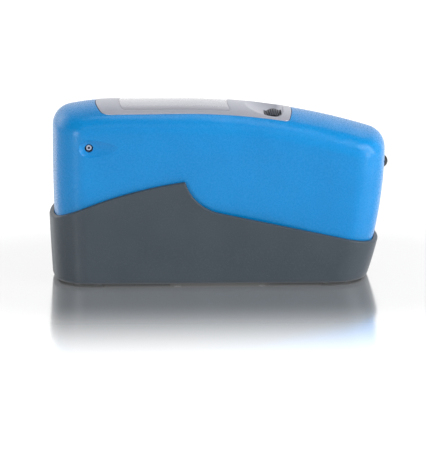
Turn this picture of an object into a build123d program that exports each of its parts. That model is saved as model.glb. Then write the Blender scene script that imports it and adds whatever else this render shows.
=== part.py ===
from build123d import *
import math
import os

os.makedirs("parts", exist_ok=True)

# A hand-held gloss meter standing in its protective holder, in millimetres
# X runs along the instrument, Y across it, and the holder stands on Z = 0

# Outer form of the instrument
instrument_length = 155.0
instrument_width = 48.0
instrument_height = 73.0
instrument_base_z = 9.8
wall = 2.8
widest_z = 63.0
side_draft = 1.0
corner_radius = 14.0
end_bulge_radius = 60.0
left_end_radius = 900.0
right_end_radius = 190.0
top_edge_radius = 9.0

# Top line, flat in the middle and falling in an arc to each end, and the crown across it
flat_left_x = -48.0
flat_right_x = -18.5
left_arc_radius = 112.0
right_arc_radius = 300.0
crown_radius = 60.0

# Holder
holder_wall = 2.0
holder_clearance = 0.3
holder_floor = 3.0
holder_lip_radius = 0.7
holder_foot_edge_radius = 2.0
rim_left_z = 29.6
rim_middle_z = 42.3
rim_peak_x = -16.4
rim_peak_z = 49.3
rim_hollow_x = -0.3
rim_hollow_z = 34.3
rim_right_z = 17.0
rib_thickness = 1.6
rib_bottom_z = 3.0

# Rubber feet under the holder
foot_height = 0.8
foot_seat_depth = 1.0
foot_radius = 5.0
foot_left_inset = 16.5
foot_right_inset = 23.5
foot_left_x = foot_left_inset - instrument_length / 2
foot_right_x = instrument_length / 2 - foot_right_inset
foot_y = 13.6
foot_boss_wall = 2.0

# Calibration standard in the holder floor
tile_length = 32.0
tile_width = 22.0
tile_thickness = 3.0
tile_lip = 2.0
tile_lip_thickness = 0.6
tile_fit = 0.1
tile_pad_thickness = 1.0
tile_cover_length = 46.0
tile_cover_width = 32.0
tile_cover_thickness = 1.6
tile_screw_inset = 3.2

# Base plate
base_thickness = 3.0
base_fit = 0.15
base_post_radius = 3.6
base_post_height = 22.0
base_post_x = 53.0
base_post_y = 17.4

# Display panel, window and glass
panel_left_x = -57.4
panel_right_x = 33.7
panel_left_half_width = 18.0
panel_right_half_width = 17.0
panel_left_bow = 50.0
panel_right_bow = 80.0
panel_left_corner = 5.0
panel_right_corner = 2.6
panel_thickness = 1.6
panel_proud = 0.15
panel_seam = 0.3
panel_seat_gap = 0.05
panel_ledge = 3.4
window_x = -21.4
window_length = 50.4
window_width = 27.2
window_left_bow = 60.0
window_right_bow = 60.0
window_corner = 1.8
window_thickness = 1.05
window_fit = 0.12
window_lip = 1.0
glass_top_z = 77.2
glass_length = 48.0
glass_width = 23.0
glass_thickness = 2.0
frame_wall = 1.3
frame_shelf = 1.4
glass_fit = 0.15
strip_width = 1.4

# Finger dish and scroll wheel
dish_left_x = 12.0
dish_right_x = 30.2
dish_deep_x = 26.0
dish_depth = 3.7
dish_slope_x = 17.2
dish_slope_depth = 2.3
dish_axis_rise = 49.0
dish_inner_rise = 40.0
dish_half_turn = 24.0
dish_wall = 1.0
wheel_x = 25.1
wheel_radius = 4.7
wheel_width = 9.6
wheel_below_crown = 1.1
wheel_gap = 0.4
wheel_grooves = 26
groove_radius = 0.3
wheel_crown_radius = 24.0
wheel_press = 0.5
axle_radius = 0.7
axle_clearance = 0.03
magnet_radius = 3.3
magnet_bore = 1.1
magnet_thickness = 1.5
magnet_fit = 0.05

# Wheel carrier, its frame and its switch board
cheek_thickness = 1.5
cheek_length = 4.4
cheek_rise = 1.0
cheek_gap = 0.3
carrier_length = 13.0
carrier_base = 1.6
carrier_drop = 5.6
carrier_clearance = 0.3
stop_gap = 0.05
guide_wall = 1.5
guide_top = 0.1
guide_bottom = 10.3
ear_reach = 5.2
ear_length = 7.0
ear_thickness = 1.8
wheel_boss_radius = 2.0
wheel_boss_y = 10.4
board_thickness = 1.6
stake_radius = 0.6
tact_size = 6.0
wheel_tact_height = 2.3
wheel_plunger_radius = 1.5
plunger_clearance = 0.08
sensor_size = 2.0
sensor_height = 1.0

# Operate button on the right end
button_z = 53.5
button_radius = 2.9
button_dome_radius = 3.3
button_proud = 1.7
button_clearance = 0.15
button_travel = 1.0
button_flange_radius = 4.4
button_flange = 1.0
button_boss_radius = 6.0
button_boss_height = 1.5
button_stem_radius = 1.5
button_stem_length = 2.0
button_tact_height = 3.5
button_plunger_radius = 1.2
stroke_rest = 0.2
plunger_floor = 0.4
button_board_width = 25.0
button_board_height = 11.0
button_post_y = 9.4
button_post_radius = 2.4

# Data socket on the front, in its spoon-shaped recess
socket_inset = 16.7
socket_x = socket_inset - instrument_length / 2
socket_z = 65.1
socket_well_radius = 1.95
socket_body_radius = 3.4
socket_flange_radius = 4.6
socket_flange = 1.2
socket_depth = 12.0
socket_contact_radius = 1.25
socket_contact_bore = 0.62
socket_contact_length = 9.0
socket_fit = 0.05
socket_boss_wall = 1.0
recess_left = 8.0
recess_right = 14.0
recess_depth = 1.7
recess_radius = 6.0
recess_tilt = 4.0
recess_arc = 55.0
recess_right_share = 0.86
recess_runout = 8.0
recess_runout_share = 0.55

# Round grip dish on each side
grip_x = 7.5
grip_z = 15.6
grip_radius = 40.0
grip_depth = 1.5

# Optics: two arms in a V, 60 degrees from the normal of the measured surface
beam_angle = 60.0
aperture_x = 0.0
channel_radius = 4.0
lens_bore = 6.0
arm_half_height = 8.0
arm_half_width = 11.0
arm_length = 42.0
web_top_z = 24.0
lens_seat = 18.0
lens_edge = 1.8
lens_centre = 3.4
insert_fit = 0.05
stop_thickness = 1.0
stop_slit_length = 5.0
stop_slit_width = 1.2
spacer_wall = 0.9
cap_flange = 2.0
cap_half_size = 8.0
lamp_radius = 2.5
lamp_length = 8.5
lamp_gap = 2.5
lamp_collar = 0.6
lamp_collar_radius = 2.95
end_board_half_size = 7.0
optics_screw_x = 14.0
optics_screw_y = 8.6

# Battery, size AA, standing in its tube at the left end
battery_x = -57.0
battery_radius = 7.15
battery_length = 50.0
battery_nub_radius = 2.7
battery_nub = 1.2
battery_clearance = 0.4
tube_wall = 1.5
tube_roof = 1.5
spring_height = 4.5
spring_radius = 4.2
spring_wire = 0.45
spring_turns = 3
contact_radius = 5.0
contact_thickness = 0.5
door_radius = 9.6
door_step = 1.2
door_fit = 0.15
coin_slot_length = 11.0
coin_slot_width = 1.8
coin_slot_depth = 1.2

# Main board under the display
main_board_top_z = 72.6
main_board_left_x = -55.0
main_board_right_x = 14.0
main_board_half_width = 18.0
board_post_radius = 2.4
board_post_y = 15.8
board_post_left_x = -51.5
board_post_right_x = 10.0
board_post_top_z = 78.1
chip_size = 12.0
chip_height = 1.6
chip_x = -20.0

# Screws, shank radius, head radius, head height and length
large_screw = (1.5, 2.9, 1.4, 11.0)
medium_screw = (1.2, 2.3, 1.1, 8.0)
small_screw = (0.95, 1.8, 0.9, 5.0)
wheel_screw = (0.95, 1.8, 0.9, 3.4)
pilot_clearance = 0.05
head_clearance = 0.1
slot_width = 0.6

# Values that follow from the sizes above
top_z = instrument_base_z + instrument_height
right_end_x = instrument_length / 2
left_end_x = -instrument_length / 2
base_top_z = instrument_base_z + base_thickness
stop_at = arm_length + cap_flange - lamp_length - lamp_gap - stop_thickness
roof_room = 4.0
roof_overhang = 10.0
roof_steps = 8
band_room = 5.0
band_turn = 30.0
past = 1.0
edge_break = 0.6
corner_break = 2.0


# How a box lies on its place: standing on it or hanging below it
standing = (Align.CENTER, Align.CENTER, Align.MIN)
hanging = (Align.CENTER, Align.CENTER, Align.MAX)


def top_line(x, grow=0.0):
    # Height of the top line at x, grown outward
    if x < flat_left_x:
        radius, centre = left_arc_radius, flat_left_x
    elif x > flat_right_x:
        radius, centre = right_arc_radius, flat_right_x
    else:
        return top_z + grow
    return top_z - radius + math.sqrt((radius + grow) ** 2 - (x - centre) ** 2)


def crown_z(x, y):
    # Height of the crowned top at a point
    return top_line(x) - crown_radius + math.sqrt(crown_radius**2 - y**2)


def end_reach(z, radius, grow=0.0):
    # How far an end reaches at height z, from the axis of its bulge
    return end_bulge_radius - radius + math.sqrt((radius + grow) ** 2 - (z - widest_z) ** 2)


def right_end_at(z, grow=0.0):
    return right_end_x - end_bulge_radius + end_reach(z, right_end_radius, grow)


def half_width_at(z, grow=0.0):
    return instrument_width / 2 + grow - max(widest_z - z, 0) * math.tan(math.radians(side_draft))


def crown_band(upper, lower):
    # A layer that follows the crowned top, between two distances from it
    span = instrument_width + 4 * roof_room
    with BuildPart() as band:
        with BuildSketch(Plane.YZ.offset(flat_left_x)) as section:
            with Locations((0, top_z - crown_radius)):
                Circle(crown_radius + upper)
                Circle(crown_radius + lower, mode=Mode.SUBTRACT)
            with Locations((0, top_z)):
                Rectangle(span, 1.5 * crown_radius, mode=Mode.INTERSECT)
        layer = section.sketch.faces()[0]
        flat_length = flat_right_x - flat_left_x
        extrude(to_extrude=layer, amount=flat_length)
        left_axis = Axis((flat_left_x, 0, top_z - left_arc_radius), (0, -1, 0))
        revolve(profiles=layer, axis=left_axis, revolution_arc=band_turn)
        right_axis = Axis((flat_right_x, 0, top_z - right_arc_radius), (0, 1, 0))
        right_layer = layer.moved(Location((flat_length, 0, 0)))
        revolve(profiles=right_layer, axis=right_axis, revolution_arc=band_turn)
    return band.part


def sides(grow, low, high):
    # The drafted sides with their bulged ends and rounded corners, from low to high
    with BuildPart() as form:
        for side, radius in ((1, right_end_radius), (-1, left_end_radius)):
            axis_x = side * (instrument_length / 2 - end_bulge_radius)
            middle_z = (low + high) / 2
            points = [(end_reach(z, radius, grow), z) for z in (low, middle_z, high)]
            with BuildSketch(Plane.YZ.offset(axis_x)):
                with BuildLine():
                    ThreePointArc(*points)
                    Polyline(points[2], (0, high), (0, low), points[0])
                make_face()
            revolve(axis=Axis((axis_x, 0, 0), (0, 0, -side)), revolution_arc=180)
        middle = instrument_length - 2 * end_bulge_radius
        with Locations((0, 0, low)):
            Box(middle, instrument_width + 2 * grow + 2 * roof_room, high - low, align=standing)
        outline = [(half_width_at(low, grow), low), (half_width_at(high, grow), high)]
        if low < widest_z < high:
            outline.insert(1, (half_width_at(widest_z, grow), widest_z))
        with BuildSketch(Plane.YZ):
            with BuildLine():
                Polyline(*outline, *[(-y, z) for y, z in reversed(outline)], close=True)
            make_face()
        extrude(amount=instrument_length, both=True, mode=Mode.INTERSECT)
        upright = form.edges().filter_by(lambda e: abs(e.tangent_at(0.5).Z) > 0.9)
        corners = upright.filter_by(
            lambda e: abs(e.center().X) > right_end_x - corner_radius and abs(e.center().Y) > corner_radius
        )
        fillet(corners, corner_radius + grow)
    return form.part


def instrument_form(grow, low):
    # The whole outer form of the instrument, grown by a clearance or shrunk by a wall
    room = grow + roof_room
    with BuildPart() as form:
        add(sides(grow, low, top_z + room))
        step = (instrument_length + 2 * roof_overhang) / (roof_steps - 1)
        roof_x = [left_end_x - roof_overhang + i * step for i in range(roof_steps)]
        with BuildSketch(Plane.XZ):
            with BuildLine():
                roof = [(x, top_line(x, room)) for x in roof_x]
                Polyline(*roof, (roof_x[-1], low - past), (roof_x[0], low - past), close=True)
            make_face()
        extrude(amount=instrument_width, both=True, mode=Mode.INTERSECT)
        add(crown_band(room + band_room, grow), mode=Mode.SUBTRACT)
        tops = form.faces().filter_by(lambda f: f.normal_at().Z > 0.6)
        seams = (flat_left_x, flat_right_x)
        rim = [e for f in tops for e in f.edges() if min(abs(e.center().X - s) for s in seams) > past]
        fillet(rim, top_edge_radius + grow)
    return form.part


def screw_group(plane, places, size, countersunk=True):
    # Screws that enter the plane along its normal, with slotted heads
    shank_radius, head_radius, head_height, length = size
    head_low = 0 if countersunk else -head_height
    with BuildPart() as group:
        with BuildSketch(plane):
            with Locations(*places):
                Circle(shank_radius)
        extrude(amount=length)
        with BuildSketch(plane.offset(head_low)):
            with Locations(*places):
                Circle(head_radius)
        if countersunk:
            extrude(amount=head_height, taper=45)
        else:
            extrude(amount=head_height)
        with BuildSketch(plane.offset(head_low)):
            with Locations(*places):
                Rectangle(2 * head_radius, slot_width)
        extrude(amount=head_height / 2, mode=Mode.SUBTRACT)
    return group.part


def screw_holes(plane, places, size, depth, countersunk=True):
    # Clearance for the same screws, to be cut from what they pass through
    shank_radius, head_radius, head_height, _ = size
    with BuildPart() as holes:
        with BuildSketch(plane):
            with Locations(*places):
                Circle(shank_radius + pilot_clearance)
        extrude(amount=depth)
        if countersunk:
            with BuildSketch(plane):
                with Locations(*places):
                    Circle(head_radius + head_clearance)
            extrude(amount=head_height, taper=45)
    return holes.part


def corners_of(x, y):
    return [(-x, -y), (-x, y), (x, -y), (x, y)]


# The screws that enter the instrument from below
base_plane = Plane.XY.offset(instrument_base_z)
base_places = corners_of(base_post_x, base_post_y)
optics_places = corners_of(optics_screw_x, optics_screw_y)


def panel_outline(grow):
    # Display panel from above, bowed at both ends and wider to the right
    left_y = panel_left_half_width
    right_y = panel_right_half_width
    left_in = panel_left_bow - math.sqrt(panel_left_bow**2 - left_y**2)
    right_in = panel_right_bow - math.sqrt(panel_right_bow**2 - right_y**2)
    with BuildSketch() as outline:
        with BuildLine():
            Line((panel_left_x + left_in, left_y), (panel_right_x - right_in, right_y))
            ThreePointArc(
                (panel_right_x - right_in, right_y), (panel_right_x, 0), (panel_right_x - right_in, -right_y)
            )
            Line((panel_right_x - right_in, -right_y), (panel_left_x + left_in, -left_y))
            ThreePointArc(
                (panel_left_x + left_in, -left_y), (panel_left_x, 0), (panel_left_x + left_in, left_y)
            )
        make_face()
        fillet(outline.vertices().group_by(Axis.X)[0], panel_left_corner)
        fillet(outline.vertices().group_by(Axis.X)[-1], panel_right_corner)
        if grow:
            offset(amount=grow)
    return outline.sketch


def window_outline(grow):
    # Window from above: its left end bows outward and its right end inward
    left_x = window_x - window_length / 2
    right_x = window_x + window_length / 2
    half_y = window_width / 2
    left_in = window_left_bow - math.sqrt(window_left_bow**2 - half_y**2)
    right_out = window_right_bow - math.sqrt(window_right_bow**2 - half_y**2)
    with BuildSketch() as outline:
        with BuildLine():
            Line((left_x + left_in, half_y), (right_x + right_out, half_y))
            ThreePointArc((right_x + right_out, half_y), (right_x, 0), (right_x + right_out, -half_y))
            Line((right_x + right_out, -half_y), (left_x + left_in, -half_y))
            ThreePointArc((left_x + left_in, -half_y), (left_x, 0), (left_x + left_in, half_y))
        make_face()
        fillet(outline.vertices(), window_corner)
        if grow:
            offset(amount=grow)
    return outline.sketch


def column(outline, low, high):
    # An outline seen from above, carried from low to high
    with BuildPart() as prism:
        with BuildSketch(Plane.XY.offset(low)):
            add(outline)
        extrude(amount=high - low)
    return prism.part


# The dish is turned about an axis that runs along the instrument, high above its top, and follows its slope
dish_slope = math.atan2(top_line(dish_left_x) - top_line(dish_right_x), dish_right_x - dish_left_x)
dish_plane = Plane(
    origin=(
        dish_left_x + dish_axis_rise * math.sin(dish_slope),
        0,
        top_line(dish_left_x) + dish_axis_rise * math.cos(dish_slope),
    ),
    x_dir=(math.cos(dish_slope), 0, -math.sin(dish_slope)),
    z_dir=(0, 1, 0),
)


def dish_spindle(grow):
    low = dish_axis_rise + grow
    left = (-grow, dish_axis_rise)
    right = (dish_right_x - dish_left_x + grow, dish_axis_rise)
    slope = (dish_slope_x - dish_left_x, low + dish_slope_depth)
    deep = (dish_deep_x - dish_left_x, low + dish_depth)
    with BuildPart() as spindle:
        with BuildSketch(dish_plane):
            with BuildLine():
                floor = ThreePointArc(left, slope, deep)
                TangentArc(floor @ 1, right, tangent=floor % 1)
                Polyline(right, (right[0], dish_inner_rise), (left[0], dish_inner_rise), left)
            make_face()
        revolve(axis=Axis(dish_plane.origin, dish_plane.x_dir), revolution_arc=2 * dish_half_turn)
    return spindle.part.rotate(Axis(dish_plane.origin, dish_plane.x_dir), -dish_half_turn)


wheel_z = top_line(wheel_x) - wheel_below_crown - wheel_radius
carrier_half_width = wheel_width / 2 + cheek_gap + cheek_thickness
guide_top_z = wheel_z + guide_top
guide_bottom_z = wheel_z - guide_bottom
wheel_screw_plane = Plane.XY.offset(guide_top_z - ear_thickness)
wheel_screw_places = [(wheel_x, -wheel_boss_y), (wheel_x, wheel_boss_y)]


def across(x, z):
    # A sketch plane upright along the instrument, its normal along +Y and its own Y axis up
    return Plane(origin=(x, 0, z), x_dir=(-1, 0, 0), z_dir=(0, 1, 0))


# Holder: a close-fitting sleeve with a swept rim, a raised floor and a skirt below it
holder_grow = holder_clearance + holder_wall
rim_end_left_x = left_end_x - holder_grow
rim_end_right_x = right_end_x + holder_grow
pocket_form = sides(holder_clearance, foot_height - past, rim_peak_z + past)
foot_places = [(x, y) for x in (foot_left_x, foot_right_x) for y in (-foot_y, foot_y)]
tile_top_z = instrument_base_z - tile_lip_thickness
tile_pad_top_z = tile_top_z - tile_thickness
tile_cover_top_z = tile_pad_top_z - tile_pad_thickness
tile_cover_z = tile_cover_top_z - tile_cover_thickness
floor_bottom_z = instrument_base_z - holder_floor
tile_screw_x = tile_cover_length / 2 - tile_screw_inset
tile_screw_y = tile_cover_width / 2 - tile_screw_inset
tile_screw_places = corners_of(tile_screw_x, tile_screw_y)

with BuildPart() as holder:
    add(sides(holder_grow, foot_height, rim_peak_z))
    with BuildSketch(Plane.XZ):
        with BuildLine():
            left = (rim_end_left_x, rim_left_z)
            peak = (rim_peak_x, rim_peak_z)
            hollow = (rim_hollow_x, rim_hollow_z)
            right = (rim_end_right_x, rim_right_z)
            ThreePointArc(left, ((left[0] + peak[0]) / 2, rim_middle_z), peak)
            fall = Vector(hollow[0] - right[0], hollow[1] - right[1])
            TangentArc(hollow, peak, tangent=fall)
            Polyline(hollow, right, (right[0], foot_height), (left[0], foot_height), left)
        make_face()
    extrude(amount=instrument_width, both=True, mode=Mode.INTERSECT)
    bottom = holder.faces().sort_by(Axis.Z)[0]
    fillet(bottom.edges(), holder_foot_edge_radius)
    rim = holder.edges().filter_by(
        lambda e: e.center().Z > rim_right_z - 1 and abs(e.tangent_at(0.5).Z) < 0.98 and e.length > 5
    )
    ridge = rim.filter_by(lambda e: abs(abs(e.center().Y) - half_width_at(e.center().Z, holder_grow)) < 0.3)
    fillet(ridge, holder_lip_radius)
    add(pocket_form, mode=Mode.SUBTRACT)

# Everything under the floor of the holder, kept inside its skirt
with BuildPart() as holder_floor_part:
    with Locations((0, 0, floor_bottom_z)):
        Box(instrument_length, instrument_width, holder_floor, align=standing)
    with Locations((aperture_x, 0, tile_cover_top_z)):
        Box(
            tile_cover_length,
            tile_cover_width,
            floor_bottom_z - tile_cover_top_z,
            align=standing,
        )
    rib_height = floor_bottom_z - rib_bottom_z
    for rib_x in (foot_left_x, foot_right_x):
        with Locations((rib_x, 0, rib_bottom_z)):
            Box(rib_thickness, instrument_width, rib_height, align=standing)
    for rib_y in (-foot_y, foot_y):
        for low_x, high_x in ((left_end_x, -tile_cover_length / 2), (tile_cover_length / 2, right_end_x)):
            with Locations(((low_x + high_x) / 2 + aperture_x, rib_y, rib_bottom_z)):
                Box(high_x - low_x, rib_thickness, rib_height, align=standing)
    with BuildSketch(Plane.XY.offset(foot_height)):
        with Locations(*foot_places):
            Circle(foot_radius + foot_boss_wall)
    extrude(amount=floor_bottom_z - foot_height)
    with BuildSketch(Plane.XY.offset(foot_height)):
        with Locations(*foot_places):
            Circle(foot_radius + tile_fit)
    extrude(amount=foot_seat_depth, mode=Mode.SUBTRACT)
    with BuildSketch(Plane.XY.offset(tile_cover_top_z)):
        with Locations((aperture_x, 0)):
            Rectangle(tile_length + 2 * tile_fit, tile_width + 2 * tile_fit)
    extrude(amount=tile_top_z - tile_cover_top_z, mode=Mode.SUBTRACT)
    with BuildSketch(Plane.XY.offset(tile_cover_top_z)):
        with Locations((aperture_x, 0)):
            Rectangle(tile_length - 2 * tile_lip, tile_width - 2 * tile_lip)
    extrude(amount=instrument_base_z - tile_cover_top_z, mode=Mode.SUBTRACT)
    tile_screw_plane = Plane.XY.offset(tile_cover_z)
    tile_pilots = screw_holes(tile_screw_plane, tile_screw_places, small_screw, small_screw[3], False)
    add(tile_pilots, mode=Mode.SUBTRACT)
    add(pocket_form, mode=Mode.INTERSECT)

with BuildPart() as holder_whole:
    add(holder.part)
    add(holder_floor_part.part)
holder_whole.part.label = "holder"
export_step(holder_whole.part, "parts/holder.step")

with BuildPart() as holder_feet:
    with BuildSketch():
        with Locations(*foot_places):
            Circle(foot_radius)
    extrude(amount=foot_height + foot_seat_depth)
    chamfer(holder_feet.faces().filter_by(Axis.Z).group_by(Axis.Z)[0].edges(), foot_height / 3)
holder_feet.part.label = "holder_feet"
export_step(holder_feet.part, "parts/holder_feet.step")

with BuildPart() as standard_tile:
    with Locations((aperture_x, 0, tile_pad_top_z)):
        Box(tile_length, tile_width, tile_thickness, align=standing)
    chamfer(standard_tile.edges().filter_by(Axis.Z), edge_break)
standard_tile.part.label = "standard_tile"
export_step(standard_tile.part, "parts/standard_tile.step")

with BuildPart() as standard_pad:
    with Locations((aperture_x, 0, tile_cover_top_z)):
        Box(tile_length, tile_width, tile_pad_thickness, align=standing)
    fillet(standard_pad.edges().filter_by(Axis.Z), corner_break)
standard_pad.part.label = "standard_pad"
export_step(standard_pad.part, "parts/standard_pad.step")

with BuildPart() as standard_cover:
    with Locations((aperture_x, 0, tile_cover_z)):
        Box(tile_cover_length, tile_cover_width, tile_cover_thickness, align=standing)
    fillet(standard_cover.edges().filter_by(Axis.Z), tile_screw_inset)
    cover_holes = screw_holes(tile_screw_plane, tile_screw_places, small_screw, tile_cover_thickness)
    add(cover_holes, mode=Mode.SUBTRACT)
standard_cover.part.label = "standard_cover"
export_step(standard_cover.part, "parts/standard_cover.step")

with BuildPart() as standard_screws:
    add(screw_group(tile_screw_plane, tile_screw_places, small_screw))
standard_screws.part.label = "standard_screws"
export_step(standard_screws.part, "parts/standard_screws.step")

# Housing: one moulded shell, open below
opening_outline = panel_outline(-panel_ledge)
front_half = half_width_at(socket_z)
button_face_x = right_end_at(button_z)
button_boss_x = right_end_at(button_z, -wall) - button_boss_height
flange_out_x = button_boss_x - stop_gap
stem_end_x = flange_out_x - button_flange - button_stem_length
button_tact_x = stem_end_x - button_travel - stroke_rest - button_tact_height
button_board_x = button_tact_x - board_thickness
button_board_face = Plane.YZ.offset(button_board_x)
button_post_places = [(-button_post_y, button_z), (button_post_y, button_z)]
socket_plane = Plane(origin=(socket_x, -front_half, socket_z), x_dir=(1, 0, 0), z_dir=(0, 1, 0))
board_post_places = [
    (x, y) for x in (board_post_left_x, board_post_right_x) for y in (-board_post_y, board_post_y)
]
main_board_plane = Plane.XY.offset(main_board_top_z - board_thickness)

with BuildPart() as panel_seat:
    add(column(panel_outline(panel_seam), main_board_top_z, top_z + roof_room))
    add(crown_band(2 * roof_room, panel_proud - panel_thickness - panel_seat_gap), mode=Mode.INTERSECT)

with BuildPart() as housing:
    add(instrument_form(0, instrument_base_z))
    add(instrument_form(-wall, instrument_base_z - past), mode=Mode.SUBTRACT)
    # Posts that take the base screws
    with BuildSketch(Plane.XY.offset(base_top_z)):
        with Locations(*base_places):
            Circle(base_post_radius)
    extrude(amount=base_post_height)
    add(screw_holes(base_plane, base_places, large_screw, large_screw[3], False), mode=Mode.SUBTRACT)
    # Posts that carry the main board
    with BuildSketch(Plane.XY.offset(main_board_top_z)):
        with Locations(*board_post_places):
            Circle(board_post_radius)
    extrude(amount=board_post_top_z - main_board_top_z)
    board_pilots = screw_holes(main_board_plane, board_post_places, small_screw, small_screw[3], False)
    add(board_pilots, mode=Mode.SUBTRACT)
    # Seat of the display panel and the opening inside it
    add(panel_seat.part, mode=Mode.SUBTRACT)
    add(column(opening_outline, main_board_top_z, top_z + roof_room), mode=Mode.SUBTRACT)
    # Button boss and the posts of the button board
    with BuildSketch(Plane.YZ.offset(button_boss_x)):
        with Locations((0, button_z)):
            Circle(button_boss_radius)
    extrude(amount=button_boss_height + wall / 2)
    with BuildSketch(button_board_face.offset(board_thickness)):
        with Locations(*button_post_places):
            Circle(button_post_radius)
    extrude(amount=button_boss_x + button_boss_height - button_board_x - board_thickness + wall / 3)
    button_pilots = screw_holes(button_board_face, button_post_places, small_screw, small_screw[3], False)
    add(button_pilots, mode=Mode.SUBTRACT)
    with BuildSketch(Plane.YZ.offset(button_boss_x)):
        with Locations((0, button_z)):
            Circle(button_radius + button_clearance)
    extrude(amount=instrument_width / 2, mode=Mode.SUBTRACT)
    # Data socket boss
    with BuildSketch(socket_plane.offset(wall / 2)):
        Circle(socket_flange_radius + socket_boss_wall)
    extrude(amount=wall / 2 + socket_flange)

# The recess round the data socket: a spindle with its axis outside the wall, running away from it
recess_out = recess_radius - recess_depth
recess_angle = math.radians(recess_tilt)
recess_plane = Plane(
    origin=(socket_x, -front_half - recess_out, socket_z),
    x_dir=(math.cos(recess_angle), -math.sin(recess_angle), 0),
    z_dir=(0, 0, 1),
)
with BuildPart() as recess:
    with BuildSketch(recess_plane):
        with BuildLine():
            shoulder = (0, recess_radius)
            round_end = JernArc(start=shoulder, tangent=(-1, 0), radius=recess_left, arc_size=recess_arc)
            far_end = (recess_right + recess_runout, recess_radius * recess_runout_share)
            Polyline(round_end @ 1, ((round_end @ 1).X, 0), (far_end[0], 0), far_end)
            fading_end = (recess_right, recess_radius * recess_right_share)
            Spline(far_end, fading_end, shoulder, tangents=((-1, 0.6), (-1, 0)))
        make_face()
    revolve(axis=Axis(recess_plane.origin, recess_plane.x_dir))

grip_sphere_radius = (grip_radius**2 + grip_depth**2) / (2 * grip_depth)

with BuildPart() as housing_cut:
    add(housing.part)
    add(recess.part, mode=Mode.SUBTRACT)
    for side in (-1, 1):
        grip_face = half_width_at(grip_z + grip_radius / 2)
        with Locations((grip_x, side * (grip_face - grip_depth + grip_sphere_radius), grip_z)):
            Sphere(grip_sphere_radius, mode=Mode.SUBTRACT)
    with BuildSketch(socket_plane.offset(-past)):
        Circle(socket_well_radius)
    extrude(amount=wall + 2 * past, mode=Mode.SUBTRACT)
    with BuildSketch(socket_plane.offset(wall)):
        Circle(socket_flange_radius + socket_fit)
    extrude(amount=socket_flange + past, mode=Mode.SUBTRACT)
housing_cut.part.label = "housing"
export_step(housing_cut.part, "parts/housing.step")

# Display panel with its window seat, finger dish and wheel slot
panel_bottom = -(panel_thickness - panel_proud)
window_bottom = panel_proud - window_thickness
with BuildPart() as panel_bowl:
    add(dish_spindle(dish_wall))
    add(column(panel_outline(-panel_ledge - panel_seam), guide_top_z, top_z), mode=Mode.INTERSECT)
    add(crown_band(2 * roof_room, panel_bottom / 2), mode=Mode.SUBTRACT)
    with BuildSketch(Plane.XY.offset(guide_top_z)):
        with Locations(*wheel_screw_places):
            Circle(wheel_boss_radius)
    extrude(amount=crown_z(wheel_x, wheel_boss_y) - panel_thickness - guide_top_z)
    add(dish_spindle(0), mode=Mode.SUBTRACT)

with BuildPart() as window_seat:
    add(column(window_outline(0), wheel_z, top_z + roof_room))
    add(crown_band(roof_room, window_bottom - panel_seat_gap), mode=Mode.INTERSECT)

with BuildPart() as display_panel:
    add(crown_band(panel_proud, panel_bottom))
    add(column(panel_outline(0), wheel_z, top_z + roof_room), mode=Mode.INTERSECT)
    add(dish_spindle(0), mode=Mode.SUBTRACT)
    add(panel_bowl.part)
    add(window_seat.part, mode=Mode.SUBTRACT)
    add(column(window_outline(-window_lip), wheel_z, top_z + roof_room), mode=Mode.SUBTRACT)
    with BuildSketch(across(wheel_x, wheel_z).offset(-wheel_width / 2 - wheel_gap)):
        Circle(wheel_radius + wheel_gap)
    extrude(amount=wheel_width + 2 * wheel_gap, mode=Mode.SUBTRACT)
    wheel_pilots = screw_holes(wheel_screw_plane, wheel_screw_places, wheel_screw, wheel_screw[3], False)
    add(wheel_pilots, mode=Mode.SUBTRACT)
display_panel.part.label = "display_panel"
export_step(display_panel.part, "parts/display_panel.step")

with BuildPart() as display_window:
    add(crown_band(panel_proud, window_bottom))
    add(column(window_outline(-window_fit), wheel_z, top_z + roof_room), mode=Mode.INTERSECT)
display_window.part.label = "display_window"
export_step(display_window.part, "parts/display_window.step")

with BuildPart() as display_glass:
    with Locations((window_x, 0, glass_top_z)):
        Box(glass_length, glass_width, glass_thickness, align=hanging)
    chamfer(display_glass.edges().filter_by(Axis.Z), edge_break)
display_glass.part.label = "display_glass"
export_step(display_glass.part, "parts/display_glass.step")

with BuildPart() as display_frame:
    with BuildSketch(Plane.XY.offset(main_board_top_z)):
        with Locations((window_x, 0)):
            frame_room = 2 * (glass_fit + frame_wall)
            RectangleRounded(glass_length + frame_room, glass_width + frame_room, frame_wall)
            Rectangle(glass_length - 2 * frame_shelf, glass_width - 2 * frame_shelf, mode=Mode.SUBTRACT)
    extrude(amount=glass_top_z - main_board_top_z)
    with BuildSketch(Plane.XY.offset(glass_top_z - glass_thickness)):
        with Locations((window_x, 0)):
            Rectangle(glass_length + 2 * glass_fit, glass_width + 2 * glass_fit)
    extrude(amount=glass_thickness, mode=Mode.SUBTRACT)
display_frame.part.label = "display_frame"
export_step(display_frame.part, "parts/display_frame.step")

with BuildPart() as display_strip:
    strip_y = glass_width / 2 - frame_shelf - strip_width / 2 - glass_fit
    with Locations((window_x, strip_y, main_board_top_z)):
        Box(
            glass_length - 2 * frame_shelf - corner_break,
            strip_width,
            glass_top_z - glass_thickness - main_board_top_z,
            align=standing,
        )
display_strip.part.label = "display_connector_strip"
export_step(display_strip.part, "parts/display_connector_strip.step")

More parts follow.
